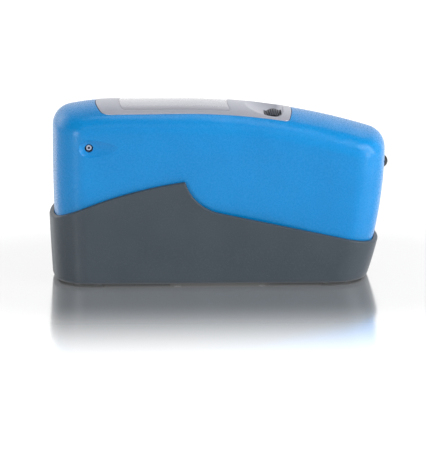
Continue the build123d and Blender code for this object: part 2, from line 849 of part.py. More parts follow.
# Scroll wheel, its axle and magnet
with BuildPart() as scroll_wheel:
    half = wheel_width / 2
    edge_drop = wheel_crown_radius - math.sqrt(wheel_crown_radius**2 - half**2)
    with BuildSketch(Plane(origin=(wheel_x, 0, wheel_z), x_dir=(0, 1, 0), z_dir=(-1, 0, 0))):
        with BuildLine():
            edge_radius = wheel_radius - edge_drop
            bore_radius = axle_radius + axle_clearance
            ThreePointArc((-half, edge_radius), (0, wheel_radius), (half, edge_radius))
            Polyline((half, edge_radius), (half, bore_radius), (-half, bore_radius), (-half, edge_radius))
        make_face()
    revolve(axis=Axis((wheel_x, 0, wheel_z), (0, 1, 0)))
    with BuildSketch(across(wheel_x, wheel_z).offset(-half)):
        with PolarLocations(wheel_radius, wheel_grooves):
            Circle(groove_radius)
    extrude(amount=wheel_width, mode=Mode.SUBTRACT)
    with BuildSketch(across(wheel_x, wheel_z).offset(half - magnet_thickness - magnet_fit)):
        Circle(magnet_radius + magnet_fit)
    extrude(amount=magnet_thickness + magnet_fit, mode=Mode.SUBTRACT)
scroll_wheel.part.label = "scroll_wheel"
export_step(scroll_wheel.part, "parts/scroll_wheel.step")

with BuildPart() as wheel_magnet:
    with BuildSketch(across(wheel_x, wheel_z).offset(half - magnet_thickness)):
        Circle(magnet_radius)
        Circle(magnet_bore, mode=Mode.SUBTRACT)
    extrude(amount=magnet_thickness)
wheel_magnet.part.label = "wheel_magnet"
export_step(wheel_magnet.part, "parts/wheel_magnet.step")

with BuildPart() as wheel_axle:
    with BuildSketch(across(wheel_x, wheel_z).offset(-carrier_half_width)):
        Circle(axle_radius)
    extrude(amount=2 * carrier_half_width)
    chamfer(wheel_axle.edges(), axle_radius / 5)
wheel_axle.part.label = "wheel_axle"
export_step(wheel_axle.part, "parts/wheel_axle.step")

with BuildPart() as wheel_carrier:
    with BuildSketch(across(wheel_x, wheel_z).offset(-carrier_half_width)):
        with BuildLine():
            top = cheek_rise
            foot = -carrier_drop
            Polyline(
                (-cheek_length / 2, foot), (-cheek_length / 2, 0), (-cheek_rise, top), (cheek_rise, top),
                (cheek_length / 2, 0), (cheek_length / 2, foot), close=True,
            )
        make_face()
    extrude(amount=2 * carrier_half_width)
    with BuildSketch(across(wheel_x, wheel_z).offset(-wheel_width / 2 - cheek_gap)):
        Rectangle(2 * wheel_radius, 4 * wheel_radius)
    extrude(amount=wheel_width + 2 * cheek_gap, mode=Mode.SUBTRACT)
    with Locations((wheel_x, 0, wheel_z - carrier_drop)):
        Box(carrier_length, 2 * carrier_half_width, carrier_base, align=hanging)
    with BuildSketch(across(wheel_x, wheel_z).offset(-carrier_half_width)):
        Circle(axle_radius + axle_clearance)
    extrude(amount=2 * carrier_half_width, mode=Mode.SUBTRACT)
wheel_carrier.part.label = "wheel_carrier"
export_step(wheel_carrier.part, "parts/wheel_carrier.step")

guide_half_x = carrier_length / 2 + carrier_clearance
guide_half_y = carrier_half_width + carrier_clearance
frame_half_x = guide_half_x + guide_wall
frame_half_y = guide_half_y + guide_wall
stake_x = guide_half_x + guide_wall / 2
with BuildPart() as wheel_frame:
    with Locations((wheel_x, 0, guide_top_z)):
        Box(2 * frame_half_x, 2 * frame_half_y, guide_top + guide_bottom, align=hanging)
        Box(ear_length, 2 * (frame_half_y + ear_reach), ear_thickness, align=hanging)
    with Locations((wheel_x, 0, wheel_z - carrier_drop + stop_gap)):
        Box(
            2 * guide_half_x, 2 * guide_half_y, guide_bottom,
            align=hanging, mode=Mode.SUBTRACT,
        )
    with Locations((wheel_x, 0, guide_top_z)):
        Box(
            2 * (wheel_radius + wheel_gap), 2 * guide_half_y, guide_bottom,
            align=hanging, mode=Mode.SUBTRACT,
        )
    with BuildSketch(Plane.XY.offset(guide_bottom_z)):
        with Locations((wheel_x - stake_x, 0), (wheel_x + stake_x, 0)):
            Circle(stake_radius)
    extrude(amount=-board_thickness)
    ear_holes = screw_holes(wheel_screw_plane, wheel_screw_places, small_screw, ear_thickness, False)
    add(ear_holes, mode=Mode.SUBTRACT)
wheel_frame.part.label = "wheel_frame"
export_step(wheel_frame.part, "parts/wheel_frame.step")

with BuildPart() as wheel_screws:
    add(screw_group(wheel_screw_plane, wheel_screw_places, wheel_screw, False))
wheel_screws.part.label = "wheel_screws"
export_step(wheel_screws.part, "parts/wheel_screws.step")

with BuildPart() as wheel_board:
    with BuildSketch(Plane.XY.offset(guide_bottom_z - board_thickness)):
        with Locations((wheel_x, 0)):
            Rectangle(2 * frame_half_x, 2 * frame_half_y)
        with Locations((wheel_x - stake_x, 0), (wheel_x + stake_x, 0)):
            Circle(stake_radius + pilot_clearance, mode=Mode.SUBTRACT)
    extrude(amount=board_thickness)
wheel_board.part.label = "wheel_board"
export_step(wheel_board.part, "parts/wheel_board.step")

plunger_top_z = wheel_z - carrier_drop - carrier_base
plunger_low_z = guide_bottom_z + 2 * wheel_press
with BuildPart() as wheel_switch:
    with Locations((wheel_x, 0, guide_bottom_z)):
        Box(tact_size, tact_size, wheel_tact_height, align=standing)
    with BuildSketch(Plane.XY.offset(plunger_low_z - wheel_press - plunger_clearance)):
        with Locations((wheel_x, 0)):
            Circle(wheel_plunger_radius + plunger_clearance)
    extrude(amount=wheel_tact_height, mode=Mode.SUBTRACT)
wheel_switch.part.label = "wheel_switch"
export_step(wheel_switch.part, "parts/wheel_switch.step")

with BuildPart() as wheel_plunger:
    with BuildSketch(Plane.XY.offset(plunger_low_z)):
        with Locations((wheel_x, 0)):
            Circle(wheel_plunger_radius)
    extrude(amount=plunger_top_z - plunger_low_z)
wheel_plunger.part.label = "wheel_plunger"
export_step(wheel_plunger.part, "parts/wheel_plunger.step")

with BuildPart() as wheel_sensor:
    with Locations((wheel_x + tact_size / 2 + sensor_size, 0, guide_bottom_z)):
        Box(sensor_size, sensor_size, sensor_height, align=standing)
wheel_sensor.part.label = "wheel_sensor"
export_step(wheel_sensor.part, "parts/wheel_sensor.step")

# Operate button, turned about its axis through the right end
button_tip_x = button_face_x + button_proud
dome_centre_x = button_tip_x - button_dome_radius
dome_start_x = dome_centre_x + math.sqrt(button_dome_radius**2 - button_radius**2)
with BuildPart() as operate_button:
    with BuildSketch(Plane(origin=(0, 0, button_z), x_dir=(1, 0, 0), z_dir=(0, -1, 0))):
        with BuildLine():
            Polyline(
                (button_tip_x, 0),
                (stem_end_x, 0),
                (stem_end_x, button_stem_radius),
                (flange_out_x - button_flange, button_stem_radius),
                (flange_out_x - button_flange, button_flange_radius),
                (flange_out_x, button_flange_radius),
                (flange_out_x, button_radius),
                (dome_start_x, button_radius),
            )
            mid_angle = math.asin(button_radius / button_dome_radius) / 2
            dome_mid_x = dome_centre_x + button_dome_radius * math.cos(mid_angle)
            dome_mid_y = button_dome_radius * math.sin(mid_angle)
            ThreePointArc((dome_start_x, button_radius), (dome_mid_x, dome_mid_y), (button_tip_x, 0))
        make_face()
    revolve(axis=Axis((0, 0, button_z), (1, 0, 0)))
operate_button.part.label = "operate_button"
export_step(operate_button.part, "parts/operate_button.step")

plunger_end_x = button_tact_x + button_travel + plunger_floor
with BuildPart() as button_switch:
    with Locations((button_tact_x, 0, button_z)):
        Box(button_tact_height, tact_size, tact_size, align=(Align.MIN, Align.CENTER, Align.CENTER))
    with BuildSketch(Plane.YZ.offset(plunger_end_x - button_travel - plunger_clearance)):
        with Locations((0, button_z)):
            Circle(button_plunger_radius + plunger_clearance)
    extrude(amount=button_tact_height + button_travel, mode=Mode.SUBTRACT)
button_switch.part.label = "button_switch"
export_step(button_switch.part, "parts/button_switch.step")

with BuildPart() as button_plunger:
    with BuildSketch(Plane.YZ.offset(plunger_end_x)):
        with Locations((0, button_z)):
            Circle(button_plunger_radius)
    extrude(amount=stem_end_x - plunger_end_x)
button_plunger.part.label = "button_plunger"
export_step(button_plunger.part, "parts/button_plunger.step")

with BuildPart() as button_board:
    with BuildSketch(button_board_face):
        with Locations((0, button_z)):
            Rectangle(button_board_width, button_board_height)
    extrude(amount=board_thickness)
    board_holes = screw_holes(button_board_face, button_post_places, small_screw, board_thickness, False)
    add(board_holes, mode=Mode.SUBTRACT)
button_board.part.label = "button_board"
export_step(button_board.part, "parts/button_board.step")

# Data socket
with BuildPart() as data_socket:
    with BuildSketch(socket_plane.offset(wall)):
        Circle(socket_flange_radius)
    extrude(amount=socket_flange)
    with BuildSketch(socket_plane.offset(wall + socket_flange)):
        Circle(socket_body_radius)
    extrude(amount=socket_depth - wall - socket_flange)
    with BuildSketch(socket_plane.offset(wall)):
        Circle(socket_well_radius)
    extrude(amount=socket_depth / 2, mode=Mode.SUBTRACT)
    with BuildSketch(socket_plane.offset(wall + socket_depth / 2)):
        Circle(socket_contact_radius + socket_fit)
    extrude(amount=socket_depth, mode=Mode.SUBTRACT)
data_socket.part.label = "data_socket"
export_step(data_socket.part, "parts/data_socket.step")

with BuildPart() as socket_contact:
    with BuildSketch(socket_plane.offset(socket_depth - socket_contact_length)):
        Circle(socket_contact_radius)
    extrude(amount=socket_contact_length)
    with BuildSketch(socket_plane.offset(socket_depth - socket_contact_length)):
        Circle(socket_contact_bore)
    extrude(amount=socket_contact_length / 2, mode=Mode.SUBTRACT)
socket_contact.part.label = "socket_contact"
export_step(socket_contact.part, "parts/socket_contact.step")

# Base plate
def beam_plane(side):
    # Across the beam of one arm, with its normal along the beam, away from the measured surface
    angle = math.radians(beam_angle)
    beam = (side * math.sin(angle), 0, math.cos(angle))
    return Plane(origin=(aperture_x, 0, instrument_base_z), x_dir=(0, 1, 0), z_dir=beam)


def beam_cylinder(side, radius, start, length):
    with BuildPart() as cylinder:
        with BuildSketch(beam_plane(side).offset(start)):
            Circle(radius)
        extrude(amount=length)
    return cylinder.part


with BuildPart() as base_plate:
    add(sides(-wall - base_fit, instrument_base_z, widest_z))
    with Locations((0, 0, instrument_base_z)):
        Box(
            instrument_length, instrument_width, base_thickness,
            align=standing, mode=Mode.INTERSECT,
        )
    for side in (-1, 1):
        add(beam_cylinder(side, channel_radius, -arm_half_height, 2 * lens_seat), mode=Mode.SUBTRACT)
    add(screw_holes(base_plane, base_places, large_screw, base_thickness), mode=Mode.SUBTRACT)
    add(screw_holes(base_plane, optics_places, medium_screw, base_thickness), mode=Mode.SUBTRACT)
    with BuildSketch(base_plane):
        with Locations((battery_x, 0)):
            Circle(door_radius + door_fit)
    extrude(amount=base_thickness / 2, mode=Mode.SUBTRACT)
    with BuildSketch(base_plane):
        with Locations((battery_x, 0)):
            Circle(door_radius - door_step + door_fit)
    extrude(amount=base_thickness, mode=Mode.SUBTRACT)
base_plate.part.label = "base_plate"
export_step(base_plate.part, "parts/base_plate.step")

with BuildPart() as base_screws:
    add(screw_group(base_plane, base_places, large_screw))
base_screws.part.label = "base_screws"
export_step(base_screws.part, "parts/base_screws.step")

with BuildPart() as optics_screws:
    add(screw_group(base_plane, optics_places, medium_screw))
optics_screws.part.label = "optics_screws"
export_step(optics_screws.part, "parts/optics_screws.step")

# Optics block: a V of two bored arms on a flat foot
beam = math.radians(beam_angle)
along = (math.sin(beam), math.cos(beam))
arm_end = (arm_length * along[0], instrument_base_z + arm_length * along[1])
below = (arm_end[0] + arm_half_height * along[1], arm_end[1] - arm_half_height * along[0])
above = (arm_end[0] - arm_half_height * along[1], arm_end[1] + arm_half_height * along[0])
slope = along[1] / along[0]
foot_x = below[0] - (below[1] - base_top_z) / slope
web_x = above[0] - (above[1] - web_top_z) / slope
with BuildPart() as optics_block:
    with BuildSketch(Plane.XZ):
        with BuildLine():
            right_side = [(foot_x, base_top_z), below, above, (web_x, web_top_z)]
            Polyline(
                *[(aperture_x + x, z) for x, z in right_side],
                *[(aperture_x - x, z) for x, z in reversed(right_side)],
                close=True,
            )
        make_face()
    extrude(amount=arm_half_width, both=True)
    chamfer(optics_block.edges().filter_by(Axis.Y).sort_by(Axis.Z)[-4:], edge_break)
    for side in (-1, 1):
        add(beam_cylinder(side, channel_radius, 0, arm_length), mode=Mode.SUBTRACT)
        add(beam_cylinder(side, lens_bore, lens_seat, arm_length), mode=Mode.SUBTRACT)
    add(screw_holes(base_plane, optics_places, medium_screw, medium_screw[3], False), mode=Mode.SUBTRACT)
optics_block.part.label = "optics_block"
export_step(optics_block.part, "parts/optics_block.step")

insert_radius = lens_bore - insert_fit
for side, lens_name, spacer_name, stop_name, cap_name, can_name, board_name in (
    (-1, "source_lens", "source_spacer", "source_stop", "lamp_cap", "lamp", "lamp_board"),
    (1, "receiver_lens", "receiver_spacer", "receiver_stop", "detector_cap", "detector", "detector_board"),
):
    cross = beam_plane(side)
    beam_axis = Axis(cross.origin, cross.z_dir)
    lengthwise = Plane(origin=cross.origin, x_dir=cross.z_dir, z_dir=(0, -side, 0))
    with BuildPart() as lens:
        with BuildSketch(lengthwise):
            with BuildLine():
                lens_rim = (lens_seat + lens_edge, insert_radius - spacer_wall)
                Polyline(
                    lens_rim, (lens_rim[0], insert_radius), (lens_seat, insert_radius),
                    (lens_seat, 0), (lens_seat + lens_centre, 0),
                )
                bulge = lens_centre - lens_edge
                lens_arc_radius = (lens_rim[1] ** 2 + bulge**2) / (2 * bulge)
                half_y = lens_rim[1] / 2
                half_x = lens_seat + lens_centre - lens_arc_radius + math.sqrt(lens_arc_radius**2 - half_y**2)
                ThreePointArc((lens_seat + lens_centre, 0), (half_x, half_y), lens_rim)
            make_face()
        revolve(axis=beam_axis)
    lens.part.label = lens_name
    export_step(lens.part, f"parts/{lens_name}.step")

    with BuildPart() as spacer:
        with BuildSketch(cross.offset(lens_seat + lens_edge)):
            Circle(insert_radius)
            Circle(insert_radius - spacer_wall, mode=Mode.SUBTRACT)
        extrude(amount=stop_at - lens_seat - lens_edge)
    spacer.part.label = spacer_name
    export_step(spacer.part, f"parts/{spacer_name}.step")

    with BuildPart() as stop:
        with BuildSketch(cross.offset(stop_at)):
            Circle(insert_radius)
            Rectangle(stop_slit_length, stop_slit_width, mode=Mode.SUBTRACT)
        extrude(amount=stop_thickness)
    stop.part.label = stop_name
    export_step(stop.part, f"parts/{stop_name}.step")

    with BuildPart() as cap:
        with BuildSketch(cross.offset(stop_at + stop_thickness)):
            Circle(insert_radius)
        extrude(amount=arm_length - stop_at - stop_thickness)
        with BuildSketch(cross.offset(arm_length)):
            RectangleRounded(2 * cap_half_size, 2 * cap_half_size, corner_break)
        extrude(amount=cap_flange)
        with BuildSketch(cross.offset(stop_at + stop_thickness)):
            Circle(lamp_radius + pilot_clearance)
        extrude(amount=arm_length, mode=Mode.SUBTRACT)
    cap.part.label = cap_name
    export_step(cap.part, f"parts/{cap_name}.step")

    can_out = arm_length + cap_flange
    with BuildPart() as can:
        with BuildSketch(lengthwise):
            with BuildLine():
                can_in = can_out - lamp_length
                Polyline(
                    (can_in, 0),
                    (can_out + lamp_collar, 0),
                    (can_out + lamp_collar, lamp_collar_radius),
                    (can_out, lamp_collar_radius),
                    (can_out, lamp_radius),
                    (can_in + lamp_radius, lamp_radius),
                )
                RadiusArc((can_in + lamp_radius, lamp_radius), (can_in, 0), -lamp_radius)
            make_face()
        revolve(axis=beam_axis)
    can.part.label = can_name
    export_step(can.part, f"parts/{can_name}.step")

    with BuildPart() as end_board:
        with BuildSketch(cross.offset(can_out + lamp_collar)):
            Rectangle(2 * end_board_half_size, 2 * end_board_half_size)
        extrude(amount=board_thickness)
    end_board.part.label = board_name
    export_step(end_board.part, f"parts/{board_name}.step")

# Battery in its tube
spring_foot_z = instrument_base_z + base_thickness
battery_low_z = spring_foot_z + spring_height
battery_top_z = battery_low_z + battery_length
tube_inner = battery_radius + battery_clearance
contact_z = battery_top_z
with BuildPart() as battery:
    with BuildSketch(Plane.XY.offset(battery_low_z)):
        with Locations((battery_x, 0)):
            Circle(battery_radius)
    extrude(amount=battery_length - battery_nub)
    fillet(battery.edges(), edge_break)
    with BuildSketch(Plane.XY.offset(battery_low_z)):
        with Locations((battery_x, 0)):
            Circle(battery_nub_radius)
    extrude(amount=battery_length)
battery.part.label = "battery"
export_step(battery.part, "parts/battery.step")

with BuildPart() as battery_tube:
    with BuildSketch(Plane.XY.offset(base_top_z)):
        with Locations((battery_x, 0)):
            Circle(tube_inner + tube_wall)
    extrude(amount=contact_z + contact_thickness + tube_roof - base_top_z)
    with BuildSketch(Plane.XY.offset(base_top_z)):
        with Locations((battery_x, 0)):
            Circle(tube_inner)
    extrude(amount=contact_z + contact_thickness - base_top_z, mode=Mode.SUBTRACT)
battery_tube.part.label = "battery_tube"
export_step(battery_tube.part, "parts/battery_tube.step")

with BuildPart() as battery_contact:
    with BuildSketch(Plane.XY.offset(contact_z)):
        with Locations((battery_x, 0)):
            Circle(contact_radius)
    extrude(amount=contact_thickness)
battery_contact.part.label = "battery_contact"
export_step(battery_contact.part, "parts/battery_contact.step")

with BuildPart() as battery_door:
    with BuildSketch(base_plane):
        with Locations((battery_x, 0)):
            Circle(door_radius)
    extrude(amount=base_thickness / 2)
    with BuildSketch(base_plane):
        with Locations((battery_x, 0)):
            Circle(door_radius - door_step)
    extrude(amount=base_thickness)
    with BuildSketch(base_plane):
        with Locations((battery_x, 0)):
            SlotOverall(coin_slot_length, coin_slot_width)
    extrude(amount=coin_slot_depth, mode=Mode.SUBTRACT)
battery_door.part.label = "battery_door"
export_step(battery_door.part, "parts/battery_door.step")

with BuildPart() as battery_spring:
    pitch = (spring_height - 2 * spring_wire) / spring_turns
    with BuildLine():
        coil = Helix(
            pitch=pitch, height=spring_height - 2 * spring_wire, radius=spring_radius,
            center=(battery_x, 0, spring_foot_z + spring_wire),
        )
    with BuildSketch(Plane(origin=coil @ 0, z_dir=coil % 0)):
        Circle(spring_wire)
    sweep(path=coil, is_frenet=True)
battery_spring.part.label = "battery_spring"
export_step(battery_spring.part, "parts/battery_spring.step")

# Main board, its processor and the screws
with BuildPart() as main_board:
    with BuildSketch(main_board_plane):
        with Locations(((main_board_left_x + main_board_right_x) / 2, 0)):
            RectangleRounded(main_board_right_x - main_board_left_x, 2 * main_board_half_width, corner_break)
    extrude(amount=board_thickness)
    main_holes = screw_holes(main_board_plane, board_post_places, small_screw, board_thickness, False)
    add(main_holes, mode=Mode.SUBTRACT)
main_board.part.label = "main_board"
export_step(main_board.part, "parts/main_board.step")

with BuildPart() as processor:
    with Locations((chip_x, 0, main_board_top_z - board_thickness)):
        Box(chip_size, chip_size, chip_height, align=hanging)
    chamfer(processor.edges().filter_by(Axis.Z), edge_break)
processor.part.label = "processor"
export_step(processor.part, "parts/processor.step")

with BuildPart() as board_screws:
    add(screw_group(main_board_plane, board_post_places, small_screw, False))
    add(screw_group(button_board_face, button_post_places, small_screw, False))
board_screws.part.label = "board_screws"
export_step(board_screws.part, "parts/board_screws.step")
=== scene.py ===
import math

import bpy
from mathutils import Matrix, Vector


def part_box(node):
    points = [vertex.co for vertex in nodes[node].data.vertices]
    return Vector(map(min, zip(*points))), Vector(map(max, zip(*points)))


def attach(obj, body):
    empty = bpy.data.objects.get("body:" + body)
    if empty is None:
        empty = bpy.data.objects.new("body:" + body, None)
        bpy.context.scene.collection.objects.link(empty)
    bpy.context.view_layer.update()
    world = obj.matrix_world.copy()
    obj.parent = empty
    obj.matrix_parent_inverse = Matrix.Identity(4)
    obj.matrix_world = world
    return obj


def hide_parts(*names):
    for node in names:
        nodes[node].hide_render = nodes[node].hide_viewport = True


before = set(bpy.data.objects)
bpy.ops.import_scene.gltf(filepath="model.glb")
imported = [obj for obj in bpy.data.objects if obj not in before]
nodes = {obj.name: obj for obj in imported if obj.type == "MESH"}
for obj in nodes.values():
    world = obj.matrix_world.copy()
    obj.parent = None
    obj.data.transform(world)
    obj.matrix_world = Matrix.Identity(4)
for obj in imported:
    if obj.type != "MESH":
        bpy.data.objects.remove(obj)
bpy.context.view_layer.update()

# A hand-held gloss meter in its holder, in metres, X along it and the holder on Z = 0
mm = 0.001
print("frame loaded,", len(nodes), "nodes")

# A mix node names its inputs alike for numbers and for colours, so they are told apart by their place
mixShare, firstNumber, secondNumber, firstColour, secondColour = 0, 2, 3, 6, 7
mixedColour = 2

# A noise texture's values bunch in the middle, and these parts of its range are drawn out over the whole
middlePart = {"From Min": 0.35, "From Max": 0.65}
widePart = {"From Min": 0.3, "From Max": 0.7}
fineDetail = 3.0


def linearColour(hexCode):
    # a hex colour as it is seen, turned into the linear values that the shaders take
    values = []
    for start in (1, 3, 5):
        level = int(hexCode[start:start + 2], 16) / 255
        values.append(level / 12.92 if level <= 0.04045 else ((level + 0.055) / 1.055) ** 2.4)
    return (*values, 1.0)


def addNode(tree, kind, inputs=None, **settings):
    # one node with its settings, its fixed inputs and its links
    node = tree.nodes.new(kind)
    for name, value in settings.items():
        setattr(node, name, value)
    for name, value in (inputs or {}).items():
        if isinstance(value, bpy.types.NodeSocket):
            tree.links.new(value, node.inputs[name])
        else:
            node.inputs[name].default_value = value
    return node


def startMaterial(name, **fixedInputs):
    # a shader with what is the same all over the surface, and the place that the patterns are drawn by
    material = bpy.data.materials.new(name)
    material.use_nodes = True
    tree = material.node_tree
    tree.nodes.clear()
    fixed = {name.replace("_", " "): value for name, value in fixedInputs.items()}
    shader = addNode(tree, "ShaderNodeBsdfPrincipled", fixed)
    addNode(tree, "ShaderNodeOutputMaterial", {"Surface": shader.outputs[0]})
    place = addNode(tree, "ShaderNodeTexCoord").outputs["Object"]
    return material, tree, shader, place


def linkPatterns(tree, shader, **patterns):
    # the last links of a finish: its patterns to the shader
    for name, output in patterns.items():
        tree.links.new(output, shader.inputs[name.replace("_", " ")])


def mouldedPlastic(name, look):
    # a moulded plastic: a grain from the tool steel, a faint flow mottle and a patchy sheen
    material, tree, shader, place = startMaterial(name, IOR=look["ior"], Specular_IOR_Level=look["specular"])
    peakFrom, peakTo = 0.5, 0.75  # the part of the grain that counts as its peaks
    patchiness = 0.05  # how far the grain takes the roughness up and down
    mottle = addNode(tree, "ShaderNodeTexNoise", {"Vector": place, "Scale": 1 / (look["mottleMm"] * mm)})
    grain = addNode(tree, "ShaderNodeTexNoise", {
        "Vector": place, "Scale": 1 / (look["grainMm"] * mm), "Detail": fineDetail,
    })
    flow = addNode(tree, "ShaderNodeMapRange", {"Value": mottle.outputs[0], **middlePart})
    colour = addNode(tree, "ShaderNodeMix", {
        mixShare: flow.outputs[0],
        firstColour: linearColour(look["colour"]), secondColour: linearColour(look["colourTwo"]),
    }, data_type="RGBA")
    # the grain's peaks take the speck colour: where it is paler than the plastic, it is a painted glint on
    # the grain
    peaks = addNode(tree, "ShaderNodeMapRange", {
        "Value": grain.outputs[0], "From Min": peakFrom, "From Max": peakTo, "To Max": look["speck"],
    })
    specked = addNode(tree, "ShaderNodeMix", {
        mixShare: peaks.outputs[0],
        firstColour: colour.outputs[mixedColour], secondColour: linearColour(look["speckColour"]),
    }, data_type="RGBA")
    sheen = addNode(tree, "ShaderNodeMapRange", {
        "Value": grain.outputs[0], **widePart,
        "To Min": look["roughness"] - patchiness, "To Max": look["roughness"] + patchiness,
    })
    bump = addNode(tree, "ShaderNodeBump", {
        "Height": grain.outputs[0], "Distance": look["grainDepthMm"] * mm, "Strength": look["bump"],
    })
    linkPatterns(
        tree, shader,
        Base_Color=specked.outputs[mixedColour], Roughness=sheen.outputs[0], Normal=bump.outputs[0],
    )
    return material


def workedMetal(name, look):
    # a metal part: colour clouds of its plating, and marks drawn out along one axis by the tool
    material, tree, shader, place = startMaterial(name, Metallic=1.0)
    brighter, duller = 0.06, 0.08  # how far the marks take the roughness down and up
    cloud = addNode(tree, "ShaderNodeTexNoise", {"Vector": place, "Scale": 1 / (look["cloudMm"] * mm)})
    stretched = addNode(tree, "ShaderNodeMapping", {"Vector": place, "Scale": look["stretch"]})
    marks = addNode(tree, "ShaderNodeTexNoise", {
        "Vector": stretched.outputs[0], "Scale": 1 / (look["markMm"] * mm), "Detail": fineDetail,
    })
    shade = addNode(tree, "ShaderNodeMapRange", {"Value": cloud.outputs[0], **middlePart})
    colour = addNode(tree, "ShaderNodeMix", {
        mixShare: shade.outputs[0],
        firstColour: linearColour(look["colour"]), secondColour: linearColour(look["colourTwo"]),
    }, data_type="RGBA")
    polish = addNode(tree, "ShaderNodeMapRange", {
        "Value": marks.outputs[0], **widePart,
        "To Min": look["roughness"] - brighter, "To Max": look["roughness"] + duller,
    })
    bump = addNode(tree, "ShaderNodeBump", {
        "Height": marks.outputs[0], "Distance": look["markDepthMm"] * mm, "Strength": 0.4,
    })
    linkPatterns(
        tree, shader,
        Base_Color=colour.outputs[mixedColour], Roughness=polish.outputs[0], Normal=bump.outputs[0],
    )
    return material


# ABS moulded against a spark-eroded tool: a deep even grain that breaks the light into a soft satin and
# takes most of the sheen. The real grain is about 0.3 mm; it is drawn twice as coarse, to show at all.
# its pale specks on the grain are a painted glint
blueAbs = mouldedPlastic("blueTexturedAbs", {
    "colour": "#008ED8", "colourTwo": "#0089D2", "speckColour": "#38B0EE", "speck": 0.14, "ior": 1.54,
    "specular": 0.3, "roughness": 0.28, "mottleMm": 28, "grainMm": 0.62, "grainDepthMm": 0.06, "bump": 0.35,
})

# ABS in dark grey from a lightly blasted tool: matter and finer than the housing, its grain also drawn
# coarser than the real one of about 0.2 mm
greyAbs = mouldedPlastic("greySatinAbs", {
    "colour": "#434C54", "colourTwo": "#3F4850", "speckColour": "#6B737B", "speck": 0.2, "ior": 1.54,
    "specular": 0.25, "roughness": 0.4, "mottleMm": 22, "grainMm": 0.45, "grainDepthMm": 0.035, "bump": 0.4,
})

# Black ABS from a plain tool: fittings, caps, plate and door
blackAbs = mouldedPlastic("blackMouldedAbs", {
    "colour": "#1B1C1F", "colourTwo": "#202124", "speckColour": "#35373B", "speck": 0.25, "ior": 1.54,
    "specular": 0.5, "roughness": 0.45, "mottleMm": 9, "grainMm": 0.3, "grainDepthMm": 0.02, "bump": 0.3,
})

# Slate blue ABS, plain: the body of the data socket, its colour painted lighter than the plastic's own to
# stand in for light in the socket's shaded ring
slateAbs = mouldedPlastic("slateMouldedAbs", {
    "colour": "#8FA9C4", "colourTwo": "#87A0BC", "speckColour": "#A3B8CE", "speck": 0.2, "ior": 1.54,
    "specular": 0.4, "roughness": 0.35, "mottleMm": 3, "grainMm": 0.25, "grainDepthMm": 0.01, "bump": 0.25,
})

# Black POM: the button, glossy where fingers press it, and the wheel's slide
glossBlack = mouldedPlastic("blackPolishedPom", {
    "colour": "#15171A", "colourTwo": "#191B1F", "speckColour": "#2A2C30", "speck": 0.1, "ior": 1.48,
    "specular": 0.35, "roughness": 0.16, "mottleMm": 4, "grainMm": 0.4, "grainDepthMm": 0.004, "bump": 0.2,
})

# White POM, natural and slightly translucent looking: the switches' plungers
whitePom = mouldedPlastic("whiteNaturalPom", {
    "colour": "#E2E1DC", "colourTwo": "#D9D8D2", "speckColour": "#F0EFEA", "speck": 0.2, "ior": 1.48,
    "specular": 0.5, "roughness": 0.38, "mottleMm": 5, "grainMm": 0.35, "grainDepthMm": 0.01, "bump": 0.25,
})

# Nitrile rubber moulded dull, with paler specks on its grain: feet and connector strip
dullRubber = mouldedPlastic("blackMouldedRubber", {
    "colour": "#1C1D1E", "colourTwo": "#232425", "speckColour": "#4A4C4E", "speck": 0.3, "ior": 1.52,
    "specular": 0.4, "roughness": 0.72, "mottleMm": 3, "grainMm": 0.25, "grainDepthMm": 0.03, "bump": 0.6,
})

# Black epoxy of a moulded chip: matte with a fine sandy face
chipEpoxy = mouldedPlastic("blackMouldedEpoxy", {
    "colour": "#232426", "colourTwo": "#1E1F21", "speckColour": "#3C3E41", "speck": 0.35, "ior": 1.55,
    "specular": 0.4, "roughness": 0.58, "mottleMm": 2.5, "grainMm": 0.2, "grainDepthMm": 0.012, "bump": 0.4,
})

# Polyurethane foam sheet: open cells, no sheen
foamSheet = mouldedPlastic("greyCellFoam", {
    "colour": "#4A4B4D", "colourTwo": "#3E3F41", "speckColour": "#17181A", "speck": 0.8, "ior": 1.45,
    "specular": 0.1, "roughness": 0.9, "mottleMm": 6, "grainMm": 0.6, "grainDepthMm": 0.25, "bump": 0.9,
})

# Steel screws, zinc plated and turned: fine rings of the tool on the heads
screwSteel = workedMetal("zincPlatedSteel", {
    "colour": "#B9BCC0", "colourTwo": "#A7ABB1", "cloudMm": 1.6, "stretch": (1, 1, 6), "markMm": 0.5,
    "roughness": 0.32, "markDepthMm": 0.01,
})

# Drawn spring wire, nickel plated: bright, with draw lines
springSteel = workedMetal("nickelPlatedWire", {
    "colour": "#C6C3BC", "colourTwo": "#B0ADA7", "cloudMm": 1.2, "stretch": (1, 1, 3), "markMm": 0.25,
    "roughness": 0.24, "markDepthMm": 0.005,
})

# Turned brass under nickel: a cool grey metal, dulled by plugging
contactMetal = workedMetal("nickelPlatedBrass", {
    "colour": "#A9B3C4", "colourTwo": "#98A2B4", "cloudMm": 0.8, "stretch": (1, 5, 1), "markMm": 0.3,
    "roughness": 0.34, "markDepthMm": 0.004,
})

# Drawn steel cans of the lamp and the detector
canMetal = workedMetal("tinnedSteelCan", {
    "colour": "#C2BFB6", "colourTwo": "#AFABA0", "cloudMm": 1.5, "stretch": (5, 1, 5), "markMm": 0.3,
    "roughness": 0.28, "markDepthMm": 0.006,
})

# Sintered ferrite: dull grey-black metal with pits
magnetFerrite = workedMetal("sinteredFerrite", {
    "colour": "#55565A", "colourTwo": "#3F4044", "cloudMm": 0.7, "stretch": (1, 1, 1), "markMm": 0.2,
    "roughness": 0.55, "markDepthMm": 0.03,
})


wheelRibs = 26


